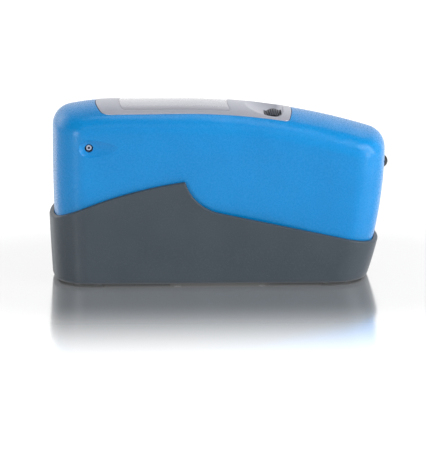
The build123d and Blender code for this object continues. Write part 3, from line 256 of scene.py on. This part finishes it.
def ribbedRubber(name, look):
    # the wheel's soft tyre, moulded with ribs: the rib crests are painted paler as a highlight, and shinier,
    # and the grooves keep the rubber's dark colour
    material, tree, shader, place = startMaterial(name, IOR=1.5, Specular_IOR_Level=0.4)
    low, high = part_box("scroll_wheel")
    centre = (low + high) / 2
    fromAxle = addNode(tree, "ShaderNodeVectorMath", {0: place, 1: tuple(centre)}, operation="SUBTRACT")
    along = addNode(tree, "ShaderNodeSeparateXYZ", {0: fromAxle.outputs[0]}).outputs
    angle = addNode(tree, "ShaderNodeMath", {0: along["Z"], 1: along["X"]}, operation="ARCTAN2")
    turns = addNode(
        tree, "ShaderNodeMath", {0: angle.outputs[0], 1: float(wheelRibs)}, operation="MULTIPLY"
    )
    wave = addNode(tree, "ShaderNodeMath", {0: turns.outputs[0]}, operation="COSINE")
    crest = addNode(tree, "ShaderNodeMapRange", {
        "Value": wave.outputs[0], "From Min": look["grooveBelow"], "From Max": look["crestAbove"],
    })
    grain = addNode(tree, "ShaderNodeTexNoise", {
        "Vector": place, "Scale": 1 / (look["grainMm"] * mm), "Detail": look["grainDetail"],
    })
    # the crests broken up by the grain: where the paler colour is a painted highlight
    paintedCrestHighlight = addNode(tree, "ShaderNodeMath", {0: crest.outputs[0], 1: grain.outputs[0]}, operation="MULTIPLY")
    colour = addNode(tree, "ShaderNodeMix", {
        mixShare: paintedCrestHighlight.outputs[0],
        firstColour: linearColour(look["colour"]), secondColour: linearColour(look["crestHighlightColour"]),
    }, data_type="RGBA")
    sheen = addNode(tree, "ShaderNodeMapRange", {
        "Value": paintedCrestHighlight.outputs[0], "To Min": look["roughness"], "To Max": look["crestRoughness"],
    })
    linkPatterns(tree, shader, Base_Color=colour.outputs[mixedColour], Roughness=sheen.outputs[0])
    return material


def anodisedBlack(name, look):
    # aluminium, milled and black anodised: cutter lines under a dull black film
    material, tree, shader, place = startMaterial(name, IOR=1.6, Metallic=0.35)
    lines = addNode(tree, "ShaderNodeTexWave", {
        "Vector": place, "Scale": 1 / (look["lineMm"] * mm), "Distortion": look["lineWander"], "Detail": 1.0,
    }, bands_direction="X")
    cloud = addNode(tree, "ShaderNodeTexNoise", {"Vector": place, "Scale": 1 / (look["cloudMm"] * mm)})
    colour = addNode(tree, "ShaderNodeMix", {
        mixShare: cloud.outputs[0],
        firstColour: linearColour(look["colour"]), secondColour: linearColour(look["colourTwo"]),
    }, data_type="RGBA")
    sheen = addNode(tree, "ShaderNodeMapRange", {
        "Value": cloud.outputs[0], "To Min": look["roughness"], "To Max": look["roughnessTwo"],
    })
    bump = addNode(tree, "ShaderNodeBump", {
        "Height": lines.outputs["Fac"], "Distance": look["lineDepthMm"] * mm, "Strength": 0.35,
    })
    linkPatterns(
        tree, shader,
        Base_Color=colour.outputs[mixedColour], Roughness=sheen.outputs[0], Normal=bump.outputs[0],
    )
    return material


def metallicPaint(name, look):
    # a paint with aluminium flakes under a thin clear coat, on a moulded plastic
    material, tree, shader, place = startMaterial(
        name, Metallic=0.4, IOR=1.5, Coat_Weight=0.3, Coat_Roughness=0.2
    )
    flakes = addNode(tree, "ShaderNodeTexVoronoi", {"Vector": place, "Scale": 1 / (look["flakeMm"] * mm)})
    tone = addNode(tree, "ShaderNodeSeparateColor", {0: flakes.outputs["Color"]}).outputs
    cloud = addNode(tree, "ShaderNodeTexNoise", {"Vector": place, "Scale": 1 / (look["cloudMm"] * mm)})
    base = addNode(tree, "ShaderNodeMix", {
        mixShare: tone[0],
        firstColour: linearColour(look["colour"]), secondColour: linearColour(look["colourTwo"]),
    }, data_type="RGBA")
    clouded = addNode(tree, "ShaderNodeMapRange", {
        "Value": cloud.outputs[0], **middlePart, "To Max": look["shade"],
    })
    shaded = addNode(tree, "ShaderNodeMix", {
        mixShare: clouded.outputs[0],
        firstColour: base.outputs[mixedColour], secondColour: linearColour(look["shadeColour"]),
    }, data_type="RGBA")
    sheen = addNode(tree, "ShaderNodeMapRange", {
        "Value": tone[1], "To Min": look["roughness"], "To Max": look["roughnessTwo"],
    })
    bump = addNode(tree, "ShaderNodeBump", {
        "Height": tone[2], "Distance": look["flakeDepthMm"] * mm, "Strength": 0.2,
    })
    linkPatterns(
        tree, shader,
        Base_Color=shaded.outputs[mixedColour], Roughness=sheen.outputs[0], Normal=bump.outputs[0],
    )
    return material


def clearSheet(name, look):
    # a clear moulding or lens: nearly flat, its face a little uneven, so that reflections wander a little
    material, tree, shader, place = startMaterial(
        name, IOR=look["ior"], Transmission_Weight=look["clear"], Metallic=look["silvered"],
        Coat_Weight=look["coat"], Coat_Roughness=0.07,
    )
    patchiness = 0.04  # how far the swell takes the roughness up
    swell = addNode(tree, "ShaderNodeTexNoise", {"Vector": place, "Scale": 1 / (look["swellMm"] * mm)})
    colour = addNode(tree, "ShaderNodeMix", {
        mixShare: swell.outputs[0],
        firstColour: linearColour(look["tint"]), secondColour: linearColour(look["tintTwo"]),
    }, data_type="RGBA")
    polish = addNode(tree, "ShaderNodeMapRange", {
        "Value": swell.outputs[0], "To Min": look["roughness"], "To Max": look["roughness"] + patchiness,
    })
    bump = addNode(tree, "ShaderNodeBump", {
        "Height": swell.outputs[0], "Distance": look["swellDepthMm"] * mm, "Strength": 0.1,
    })
    linkPatterns(
        tree, shader,
        Base_Color=colour.outputs[mixedColour], Roughness=polish.outputs[0], Normal=bump.outputs[0],
    )
    return material


def cloudedGlass(name, look):
    # a glass that can't be seen through, with a faint cloud in its colour and in its polish
    material, tree, shader, place = startMaterial(name, IOR=look["ior"], Coat_Weight=look["coat"])
    cloud = addNode(tree, "ShaderNodeTexNoise", {"Vector": place, "Scale": 1 / (look["cloudMm"] * mm)})
    colour = addNode(tree, "ShaderNodeMix", {
        mixShare: cloud.outputs[0],
        firstColour: linearColour(look["colour"]), secondColour: linearColour(look["colourTwo"]),
    }, data_type="RGBA")
    polish = addNode(tree, "ShaderNodeMapRange", {
        "Value": cloud.outputs[0], "To Min": look["roughness"], "To Max": look["roughnessTwo"],
    })
    linkPatterns(tree, shader, Base_Color=colour.outputs[mixedColour], Roughness=polish.outputs[0])
    return material


def circuitBoard(name, look):
    # glass epoxy under green solder resist: tracks show as slightly raised, lighter lines
    material, tree, shader, place = startMaterial(name, IOR=1.5)
    tracks = addNode(tree, "ShaderNodeTexBrick", {
        "Vector": place, "Color1": linearColour(look["colour"]), "Color2": linearColour(look["colourTwo"]),
        "Mortar": linearColour(look["trackColour"]), "Scale": 1 / (look["trackSpacingMm"] * mm),
        "Mortar Size": look["trackWidth"],
        "Brick Width": look["fieldLength"], "Row Height": look["fieldWidth"],
    })
    bump = addNode(tree, "ShaderNodeBump", {
        "Height": tracks.outputs["Fac"], "Distance": look["trackHeightMm"] * mm, "Strength": 0.5,
    })
    cloud = addNode(tree, "ShaderNodeTexNoise", {"Vector": place, "Scale": 1 / (look["cloudMm"] * mm)})
    sheen = addNode(tree, "ShaderNodeMapRange", {
        "Value": cloud.outputs[0], "To Min": look["roughness"], "To Max": look["roughnessTwo"],
    })
    linkPatterns(
        tree, shader,
        Base_Color=tracks.outputs["Color"], Roughness=sheen.outputs[0], Normal=bump.outputs[0],
    )
    return material


def batteryFilm(name, look):
    # shrink film over a steel can: a black lower part and a copper coloured top, meeting in a clean line
    material, tree, shader, place = startMaterial(name, IOR=1.5, Coat_Weight=0.5, Metallic=0.5)
    low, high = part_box("battery")
    topFrom = low.z + look["topFrom"] * (high.z - low.z)
    height = addNode(tree, "ShaderNodeSeparateXYZ", {0: place}).outputs["Z"]
    above = addNode(tree, "ShaderNodeMath", {0: height, 1: topFrom}, operation="GREATER_THAN")
    colour = addNode(tree, "ShaderNodeMix", {
        mixShare: above.outputs[0],
        firstColour: linearColour(look["colour"]), secondColour: linearColour(look["topColour"]),
    }, data_type="RGBA")
    cloud = addNode(tree, "ShaderNodeTexNoise", {"Vector": place, "Scale": 1 / (look["cloudMm"] * mm)})
    sheen = addNode(tree, "ShaderNodeMapRange", {
        "Value": cloud.outputs[0], "To Min": look["roughness"], "To Max": look["roughnessTwo"],
    })
    linkPatterns(tree, shader, Base_Color=colour.outputs[mixedColour], Roughness=sheen.outputs[0])
    return material


# The tyre: thermoplastic rubber, dull in the grooves, with a painted highlight on its rib crests
tyreRubber = ribbedRubber("ribbedThermoplasticRubber", {
    "colour": "#26292F", "crestHighlightColour": "#8F939E", "grooveBelow": -0.3, "crestAbove": 0.6, "grainMm": 0.3,
    "grainDetail": 2.0, "roughness": 0.6, "crestRoughness": 0.4,
})

# The optics block and all that is screwed into it
blackAluminium = anodisedBlack("blackAnodisedAluminium", {
    "colour": "#2A2B2E", "colourTwo": "#1A1B1D", "lineMm": 1.1, "lineWander": 0.6, "lineDepthMm": 0.01,
    "cloudMm": 6, "roughness": 0.35, "roughnessTwo": 0.6,
})

# ABS under a silver paint: aluminium flakes of 0.05 mm in a clear coat, drawn at 0.25 mm to show
silverPaint = metallicPaint("silverPaintedAbs", {
    "colour": "#B3B5C2", "colourTwo": "#C0C2CE", "shadeColour": "#ACAEBB", "shade": 0.25, "flakeMm": 0.25,
    "flakeDepthMm": 0.01, "cloudMm": 18, "roughness": 0.3, "roughnessTwo": 0.42,
})

# The window's acrylic lies on a silvered film, which hides the display while it is off
coatedAcrylic = clearSheet("hardCoatedAcrylic", {
    "tint": "#B9BBC8", "tintTwo": "#C3C5D1", "clear": 0.3, "silvered": 0.35, "coat": 1.0, "roughness": 0.14,
    "ior": 1.49, "swellMm": 16, "swellDepthMm": 0.004,
})

# Crown glass, ground, polished and coated: the two lenses
lensGlass = clearSheet("coatedCrownGlass", {
    "tint": "#E8F0FA", "tintTwo": "#F2F6FC", "clear": 1.0, "silvered": 0.0, "coat": 0.0, "roughness": 0.0,
    "ior": 1.52, "swellMm": 5, "swellDepthMm": 0.004,
})

# A reflective liquid crystal glass, switched off: an even silvery grey with a rubbed polariser film on it
displayGlass = cloudedGlass("reflectiveDisplayGlass", {
    "colour": "#A7ADAD", "colourTwo": "#9BA2A3", "ior": 1.5, "coat": 0.6, "cloudMm": 12, "roughness": 0.24,
    "roughnessTwo": 0.36,
})

# Polished black glass: the calibration standard, a mirror with hardly a mark on it
blackGlass = cloudedGlass("polishedBlackGlass", {
    "colour": "#0A0A0C", "colourTwo": "#0E0E11", "ior": 1.52, "coat": 0.0, "cloudMm": 7, "roughness": 0.01,
    "roughnessTwo": 0.07,
})

# Real tracks are 0.2 to 0.3 mm apart; these are drawn coarser, to show. The last three values are shares
# of the spacing.
greenBoard = circuitBoard("greenSolderResist", {
    "colour": "#1E6B45", "colourTwo": "#1A6340", "trackColour": "#2F8A5B", "trackSpacingMm": 1.9,
    "trackHeightMm": 0.03, "cloudMm": 4, "roughness": 0.24, "roughnessTwo": 0.42, "trackWidth": 0.12,
    "fieldLength": 2.3, "fieldWidth": 0.62,
})

# The battery's plain film, without print
plainFilm = batteryFilm("printedShrinkFilm", {
    "colour": "#1A1B1D", "topColour": "#B87B4A", "topFrom": 0.68, "cloudMm": 3, "roughness": 0.2,
    "roughnessTwo": 0.42,
})

finishes = {
    "housing": blueAbs,
    "holder": greyAbs,
    "holder_feet": dullRubber,
    "standard_tile": blackGlass,
    "standard_pad": foamSheet,
    "standard_cover": blackAbs,
    "standard_screws": screwSteel,
    "display_panel": silverPaint,
    "display_window": coatedAcrylic,
    "display_glass": displayGlass,
    "display_frame": blackAbs,
    "display_connector_strip": dullRubber,
    "scroll_wheel": tyreRubber,
    "wheel_magnet": magnetFerrite,
    "wheel_axle": screwSteel,
    "wheel_carrier": glossBlack,
    "wheel_frame": blackAbs,
    "wheel_screws": screwSteel,
    "wheel_board": greenBoard,
    "wheel_switch": blackAbs,
    "wheel_plunger": whitePom,
    "wheel_sensor": chipEpoxy,
    "operate_button": glossBlack,
    "button_switch": blackAbs,
    "button_plunger": whitePom,
    "button_board": greenBoard,
    "data_socket": slateAbs,
    "socket_contact": contactMetal,
    "base_plate": blackAbs,
    "base_screws": screwSteel,
    "optics_screws": screwSteel,
    "optics_block": blackAluminium,
    "source_spacer": blackAluminium,
    "source_stop": blackAluminium,
    "source_lens": lensGlass,
    "receiver_spacer": blackAluminium,
    "receiver_stop": blackAluminium,
    "receiver_lens": lensGlass,
    "lamp": canMetal,
    "lamp_cap": blackAbs,
    "lamp_board": greenBoard,
    "detector": canMetal,
    "detector_cap": blackAbs,
    "detector_board": greenBoard,
    "battery": plainFilm,
    "battery_tube": blackAbs,
    "battery_contact": springSteel,
    "battery_door": blackAbs,
    "battery_spring": springSteel,
    "main_board": greenBoard,
    "processor": chipEpoxy,
    "board_screws": screwSteel,
}
for name, node in nodes.items():
    node.data.materials.clear()
    node.data.materials.append(finishes[name])
print("finishes given to", len(nodes), "nodes")

# How a hard edge is broken: corners nearer than the weld are one, and a turn over the sharp angle is an edge
edgeBreak = {"weldMm": 0.002, "sharpDegrees": 38, "segments": 3, "evenWeight": 50}


def breakEdges(node, look):
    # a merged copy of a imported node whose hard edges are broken, as a moulding tool leaves them
    sharp = math.radians(edgeBreak["sharpDegrees"])
    bpy.ops.object.select_all(action="DESELECT")
    piece = bpy.data.objects.new(look["name"], nodes[node].data.copy())
    piece.data.name = look["name"]
    bpy.context.scene.collection.objects.link(piece)
    piece.select_set(True)
    bpy.context.view_layer.objects.active = piece
    if piece.data.has_custom_normals:
        bpy.ops.mesh.customdata_custom_splitnormals_clear()
    bpy.ops.object.mode_set(mode="EDIT")
    bpy.ops.mesh.select_all(action="SELECT")
    bpy.ops.mesh.remove_doubles(threshold=edgeBreak["weldMm"] * mm)
    bpy.ops.object.mode_set(mode="OBJECT")
    bevel = piece.modifiers.new("brokenEdges", "BEVEL")
    bevel.width = look["edgeMm"] * mm
    bevel.segments = edgeBreak["segments"]
    bevel.limit_method = "ANGLE"
    bevel.angle_limit = sharp
    bevel.miter_outer = "MITER_ARC"
    bpy.ops.object.modifier_apply(modifier=bevel.name)
    bpy.ops.object.shade_smooth_by_angle(angle=sharp)
    evened = piece.modifiers.new("evenedShading", "WEIGHTED_NORMAL")
    evened.mode = "FACE_AREA"
    evened.weight = edgeBreak["evenWeight"]
    evened.keep_sharp = True
    bpy.ops.object.modifier_apply(modifier=evened.name)
    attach(piece, look["body"])
    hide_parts(node)
    print(look["name"], "has", len(piece.data.polygons), "faces")


# The lips and rims that show a thin bright line where their edges are broken
breakEdges("holder", {
    "name": "protectiveHolder", "body": "instrument", "slot": "grey_plastic", "edgeMm": 0.5,
})
breakEdges("display_panel", {
    "name": "silverPanel", "body": "instrument", "slot": "silver_panel", "edgeMm": 0.4,
})
breakEdges("housing", {
    "name": "blueHousing", "body": "instrument", "slot": "blue_plastic", "edgeMm": 0.35,
})
breakEdges("display_window", {
    "name": "displayWindow", "body": "instrument", "slot": "clear_window", "edgeMm": 0.15,
})
breakEdges("data_socket", {
    "name": "dataSocket", "body": "instrument", "slot": "dark_plastic", "edgeMm": 0.12,
})


def selectPoints(piece, chosen):
    # edit mode with the chosen points selected, and no edge that an earlier step left selected
    bpy.ops.object.mode_set(mode="EDIT")
    bpy.ops.mesh.select_mode(type="VERT")
    bpy.ops.mesh.select_all(action="DESELECT")
    bpy.ops.object.mode_set(mode="OBJECT")
    for vertex in piece.data.vertices:
        vertex.select = chosen(vertex)
    bpy.ops.object.mode_set(mode="EDIT")
    bpy.ops.mesh.select_mode(type="VERT")


def ribbedWheel(look):
    # the wheel's tyre: a ribbed ring drawn out in steps along the axle, narrower towards its rounded ends
    low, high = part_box("scroll_wheel")
    centre = (low + high) / 2
    radius = (high.z - low.z) / 2
    bpy.ops.object.select_all(action="DESELECT")
    bpy.ops.mesh.primitive_circle_add(
        vertices=look["pointsPerRib"] * look["ribs"], radius=radius,
        location=(centre.x, low.y, centre.z), rotation=(math.pi / 2, 0, 0),
    )
    piece = bpy.context.object
    piece.name = piece.data.name = "ribbedWheel"
    bpy.ops.object.transform_apply(location=True, rotation=True, scale=True)
    # every groove is one point of the circle, drawn in towards the axle
    selectPoints(piece, lambda vertex: vertex.index % look["pointsPerRib"] == 0)
    deep = 1 - look["grooveMm"] * mm / radius
    bpy.ops.transform.resize(value=(deep, 1, deep), center_override=centre)
    bpy.ops.mesh.select_all(action="SELECT")
    nowY, nowShare = look["rings"][0]
    bpy.ops.transform.resize(value=(nowShare, 1, nowShare), center_override=centre)
    for ringY, share in look["rings"][1:]:
        step = (ringY - nowY) * mm
        bpy.ops.mesh.extrude_region_move(TRANSFORM_OT_translate={"value": (0, step, 0)})
        bpy.ops.transform.resize(value=(share / nowShare, 1, share / nowShare), center_override=centre)
        nowY, nowShare = ringY, share
    # both ends are closed and sunk a little inside a rim
    inner = 1 - look["endRimMm"] * mm / (look["rings"][0][1] * radius)
    for end, inward in ((low.y, 1), (high.y, -1)):
        selectPoints(piece, lambda vertex: abs(vertex.co.y - end) < look["endReachMm"] * mm)
        bpy.ops.mesh.edge_face_add()
        bpy.ops.mesh.extrude_region_move(TRANSFORM_OT_translate={"value": (0, 0, 0)})
        bpy.ops.transform.resize(value=(inner, 1, inner), center_override=centre)
        bpy.ops.transform.translate(value=(0, inward * look["endRecessMm"] * mm, 0))
    bpy.ops.mesh.select_all(action="SELECT")
    bpy.ops.mesh.normals_make_consistent(inside=False)
    bpy.ops.object.mode_set(mode="OBJECT")
    bpy.ops.object.shade_smooth_by_angle(angle=math.radians(look["sharpDegrees"]))
    piece.data.materials.append(finishes["scroll_wheel"])
    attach(piece, "scroll_wheel")
    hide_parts("scroll_wheel")
    print("ribbedWheel has", len(piece.data.polygons), "faces")


# Each ring is its place along the axle in mm and its share of the full radius
ribbedWheel({
    "ribs": wheelRibs, "pointsPerRib": 4, "grooveMm": 0.3, "endRimMm": 0.5, "endRecessMm": 0.3,
    "endReachMm": 0.01, "sharpDegrees": 28,
    "rings": (
        (0.0, 0.62), (0.35, 0.76), (0.9, 0.87), (1.8, 0.94), (3.1, 0.985), (4.8, 1.0),
        (6.5, 0.985), (7.8, 0.94), (8.7, 0.87), (9.25, 0.76), (9.6, 0.62),
    ),
})

# The floor lies a hair under the feet, so that no two faces share a place. Its polished part is given by
# half its length and width, and by the distances from there at which the polish starts and ends its fading.
floorLook = {
    "size": 6.0, "dropMm": 0.03, "colour": "#F2F2F2", "roughness": 0.13, "ior": 1.49, "lift": 0.5,
    "polish": 0.9, "polishedHalf": (0.07, 0.026, 0.0), "polishEnds": (0.03, 0.15), "lowView": (0.6, 0.75),
}


def floorFinish(look):
    # a white acrylic sheet, polished where the object stands and matt further out: it keeps a soft shadow,
    # and seen low it mirrors what stands on it
    material, tree, shader, place = startMaterial(
        "whiteAcrylicSheet", Base_Color=linearColour(look["colour"]), Roughness=look["roughness"],
        IOR=look["ior"], Emission_Color=(1, 1, 1, 1),
    )
    folded = addNode(tree, "ShaderNodeVectorMath", {0: place}, operation="ABSOLUTE")
    beyond = addNode(
        tree, "ShaderNodeVectorMath", {0: folded.outputs[0], 1: look["polishedHalf"]}, operation="SUBTRACT"
    )
    outward = addNode(
        tree, "ShaderNodeVectorMath", {0: beyond.outputs[0], 1: (0, 0, 0)}, operation="MAXIMUM"
    )
    away = addNode(tree, "ShaderNodeVectorMath", {0: outward.outputs[0]}, operation="LENGTH")
    fadeFrom, fadeTo = look["polishEnds"]
    polish = addNode(tree, "ShaderNodeMapRange", {
        "Value": away.outputs["Value"], "From Min": fadeFrom, "From Max": fadeTo, "To Min": look["polish"],
        "To Max": 0.0,
    }, interpolation_type="SMOOTHSTEP")
    facing = addNode(tree, "ShaderNodeLayerWeight").outputs["Facing"]
    lowFrom, lowTo = look["lowView"]
    low = addNode(tree, "ShaderNodeMapRange", {"Value": facing, "From Min": lowFrom, "From Max": lowTo})
    mirror = addNode(
        tree, "ShaderNodeMath", {0: polish.outputs[0], 1: low.outputs[0]}, operation="MULTIPLY"
    )
    path = addNode(tree, "ShaderNodeLightPath").outputs
    seen = addNode(
        tree, "ShaderNodeMath", {0: path["Is Camera Ray"], 1: path["Is Glossy Ray"]}, operation="MAXIMUM"
    )
    direct = addNode(
        tree, "ShaderNodeMath", {0: seen.outputs[0], 1: path["Is Transmission Ray"]}, operation="MAXIMUM"
    )
    matt = addNode(tree, "ShaderNodeMath", {0: 1.0, 1: mirror.outputs[0]}, operation="SUBTRACT")
    glow = addNode(tree, "ShaderNodeMath", {0: direct.outputs[0], 1: matt.outputs[0]}, operation="MULTIPLY")
    lift = addNode(tree, "ShaderNodeMath", {0: glow.outputs[0], 1: look["lift"]}, operation="MULTIPLY")
    linkPatterns(tree, shader, Metallic=mirror.outputs[0], Emission_Strength=lift.outputs[0])
    return material


bpy.ops.object.select_all(action="DESELECT")
bpy.ops.mesh.primitive_plane_add(size=floorLook["size"], location=(0, 0, -floorLook["dropMm"] * mm))
floor = bpy.context.object
floor.name = "floor"
floor.data.materials.append(floorFinish(floorLook))

# The world is white to the eye; a mirror sees white low down and behind, and a dim room elsewhere. Heights
# and depths are parts of a sight line of length one.
room = {
    "light": 0.26, "mirrored": 0.10, "horizonEnds": (0.38, 0.55), "behindEnds": (0.1, 0.5), "sweepTop": 0.56,
    "sweepSoft": 0.1, "aboveSweep": 0.25,
}
world = bpy.data.worlds.new("studioWorld")
world.use_nodes = True
bpy.context.scene.world = world
tree = world.node_tree
tree.nodes.clear()
path = addNode(tree, "ShaderNodeLightPath").outputs
worldPlace = addNode(tree, "ShaderNodeTexCoord").outputs["Generated"]
toward = addNode(tree, "ShaderNodeSeparateXYZ", {0: worldPlace}).outputs
horizon = addNode(tree, "ShaderNodeMapRange", {
    "Value": toward["Z"], "From Min": room["horizonEnds"][0], "From Max": room["horizonEnds"][1],
    "To Min": 1.0, "To Max": 0.0,
})
rise = addNode(tree, "ShaderNodeMapRange", {
    "Value": toward["Z"], "From Min": room["sweepTop"] - room["sweepSoft"],
    "From Max": room["sweepTop"] + room["sweepSoft"], "To Min": 1.0, "To Max": room["aboveSweep"],
})
behind = addNode(tree, "ShaderNodeMapRange", {
    "Value": toward["Y"], "From Min": room["behindEnds"][0], "From Max": room["behindEnds"][1],
})
back = addNode(tree, "ShaderNodeMix", {
    mixShare: behind.outputs[0], firstNumber: room["mirrored"], secondNumber: rise.outputs[0],
})
mirrored = addNode(tree, "ShaderNodeMath", {0: horizon.outputs[0], 1: back.outputs[0]}, operation="MAXIMUM")
sharp = addNode(
    tree, "ShaderNodeMath", {0: path["Is Glossy Ray"], 1: path["Is Transmission Ray"]}, operation="MAXIMUM"
)
around = addNode(tree, "ShaderNodeMix", {
    mixShare: sharp.outputs[0], firstNumber: room["light"], secondNumber: mirrored.outputs[0],
})
strength = addNode(
    tree, "ShaderNodeMath", {0: around.outputs[0], 1: path["Is Camera Ray"]}, operation="MAXIMUM"
)
background = addNode(tree, "ShaderNodeBackground", {"Color": (1, 1, 1, 1), "Strength": strength.outputs[0]})
addNode(tree, "ShaderNodeOutputWorld", {"Surface": background.outputs[0]})

# Soft boxes, all turned to the middle of the object
lampAim = Vector((0, 0, 0.045))
lamps = {
    "leftBox": {"at": (-0.42, -0.5, 0.15), "size": (0.14, 0.28), "watts": 0.85},
    "rightBox": {"at": (0.52, -0.36, 0.15), "size": (0.2, 0.28), "watts": 0.95},
    "rightStrip": {"at": (0.6, -0.12, 0.3), "size": (0.12, 0.5), "watts": 1.3},
    "highRightBox": {"at": (0.6, -0.4, 0.75), "size": (0.4, 0.4), "watts": 2.7},
    "frontTopBox": {"at": (0.0, -0.8, 0.8), "size": (0.8, 0.4), "watts": 0.9},
    "overheadBox": {"at": (0.1, 0.05, 1.0), "size": (0.9, 0.3), "watts": 1.7},
    "backBox": {"at": (-0.85, 0.6, 0.6), "size": (1.0, 0.8), "watts": 2.4},
}
for name, lamp in lamps.items():
    light = bpy.data.lights.new(name, "AREA")
    light.shape = "RECTANGLE"
    light.size, light.size_y = lamp["size"]
    light.energy = lamp["watts"]
    lampObject = bpy.data.objects.new(name, light)
    bpy.context.scene.collection.objects.link(lampObject)
    lampObject.location = lamp["at"]
    lampObject.rotation_euler = (lampAim - Vector(lamp["at"])).to_track_quat("-Z", "Y").to_euler()
print("studio ready")

# Camera, a long lens slightly above and to the left of the middle
eye = {
    "distance": 2.5, "elevation": 13.0, "azimuth": 1.85, "target": (-0.00272, 0, 0.02318),
    "focalPixels": 5340.3, "imageHigh": 450, "sensorMm": 36.0, "seesTo": 20.0,
}
elevation = math.radians(eye["elevation"])
azimuth = math.radians(eye["azimuth"])
sightLine = Vector((
    math.cos(elevation) * math.sin(azimuth), math.cos(elevation) * math.cos(azimuth), -math.sin(elevation)
))
lens = bpy.data.cameras.new("camera")
lens.sensor_width = eye["sensorMm"]
lens.lens = eye["focalPixels"] * lens.sensor_width / eye["imageHigh"]
lens.clip_end = eye["seesTo"]
camera = bpy.data.objects.new("camera", lens)
bpy.context.scene.collection.objects.link(camera)
camera.location = Vector(eye["target"]) - sightLine * eye["distance"]
camera.rotation_euler = sightLine.to_track_quat("-Z", "Y").to_euler()
bpy.context.scene.camera = camera
bpy.context.scene.view_settings.view_transform = "Standard"
print("camera ready")

bpy.context.view_layer.update()
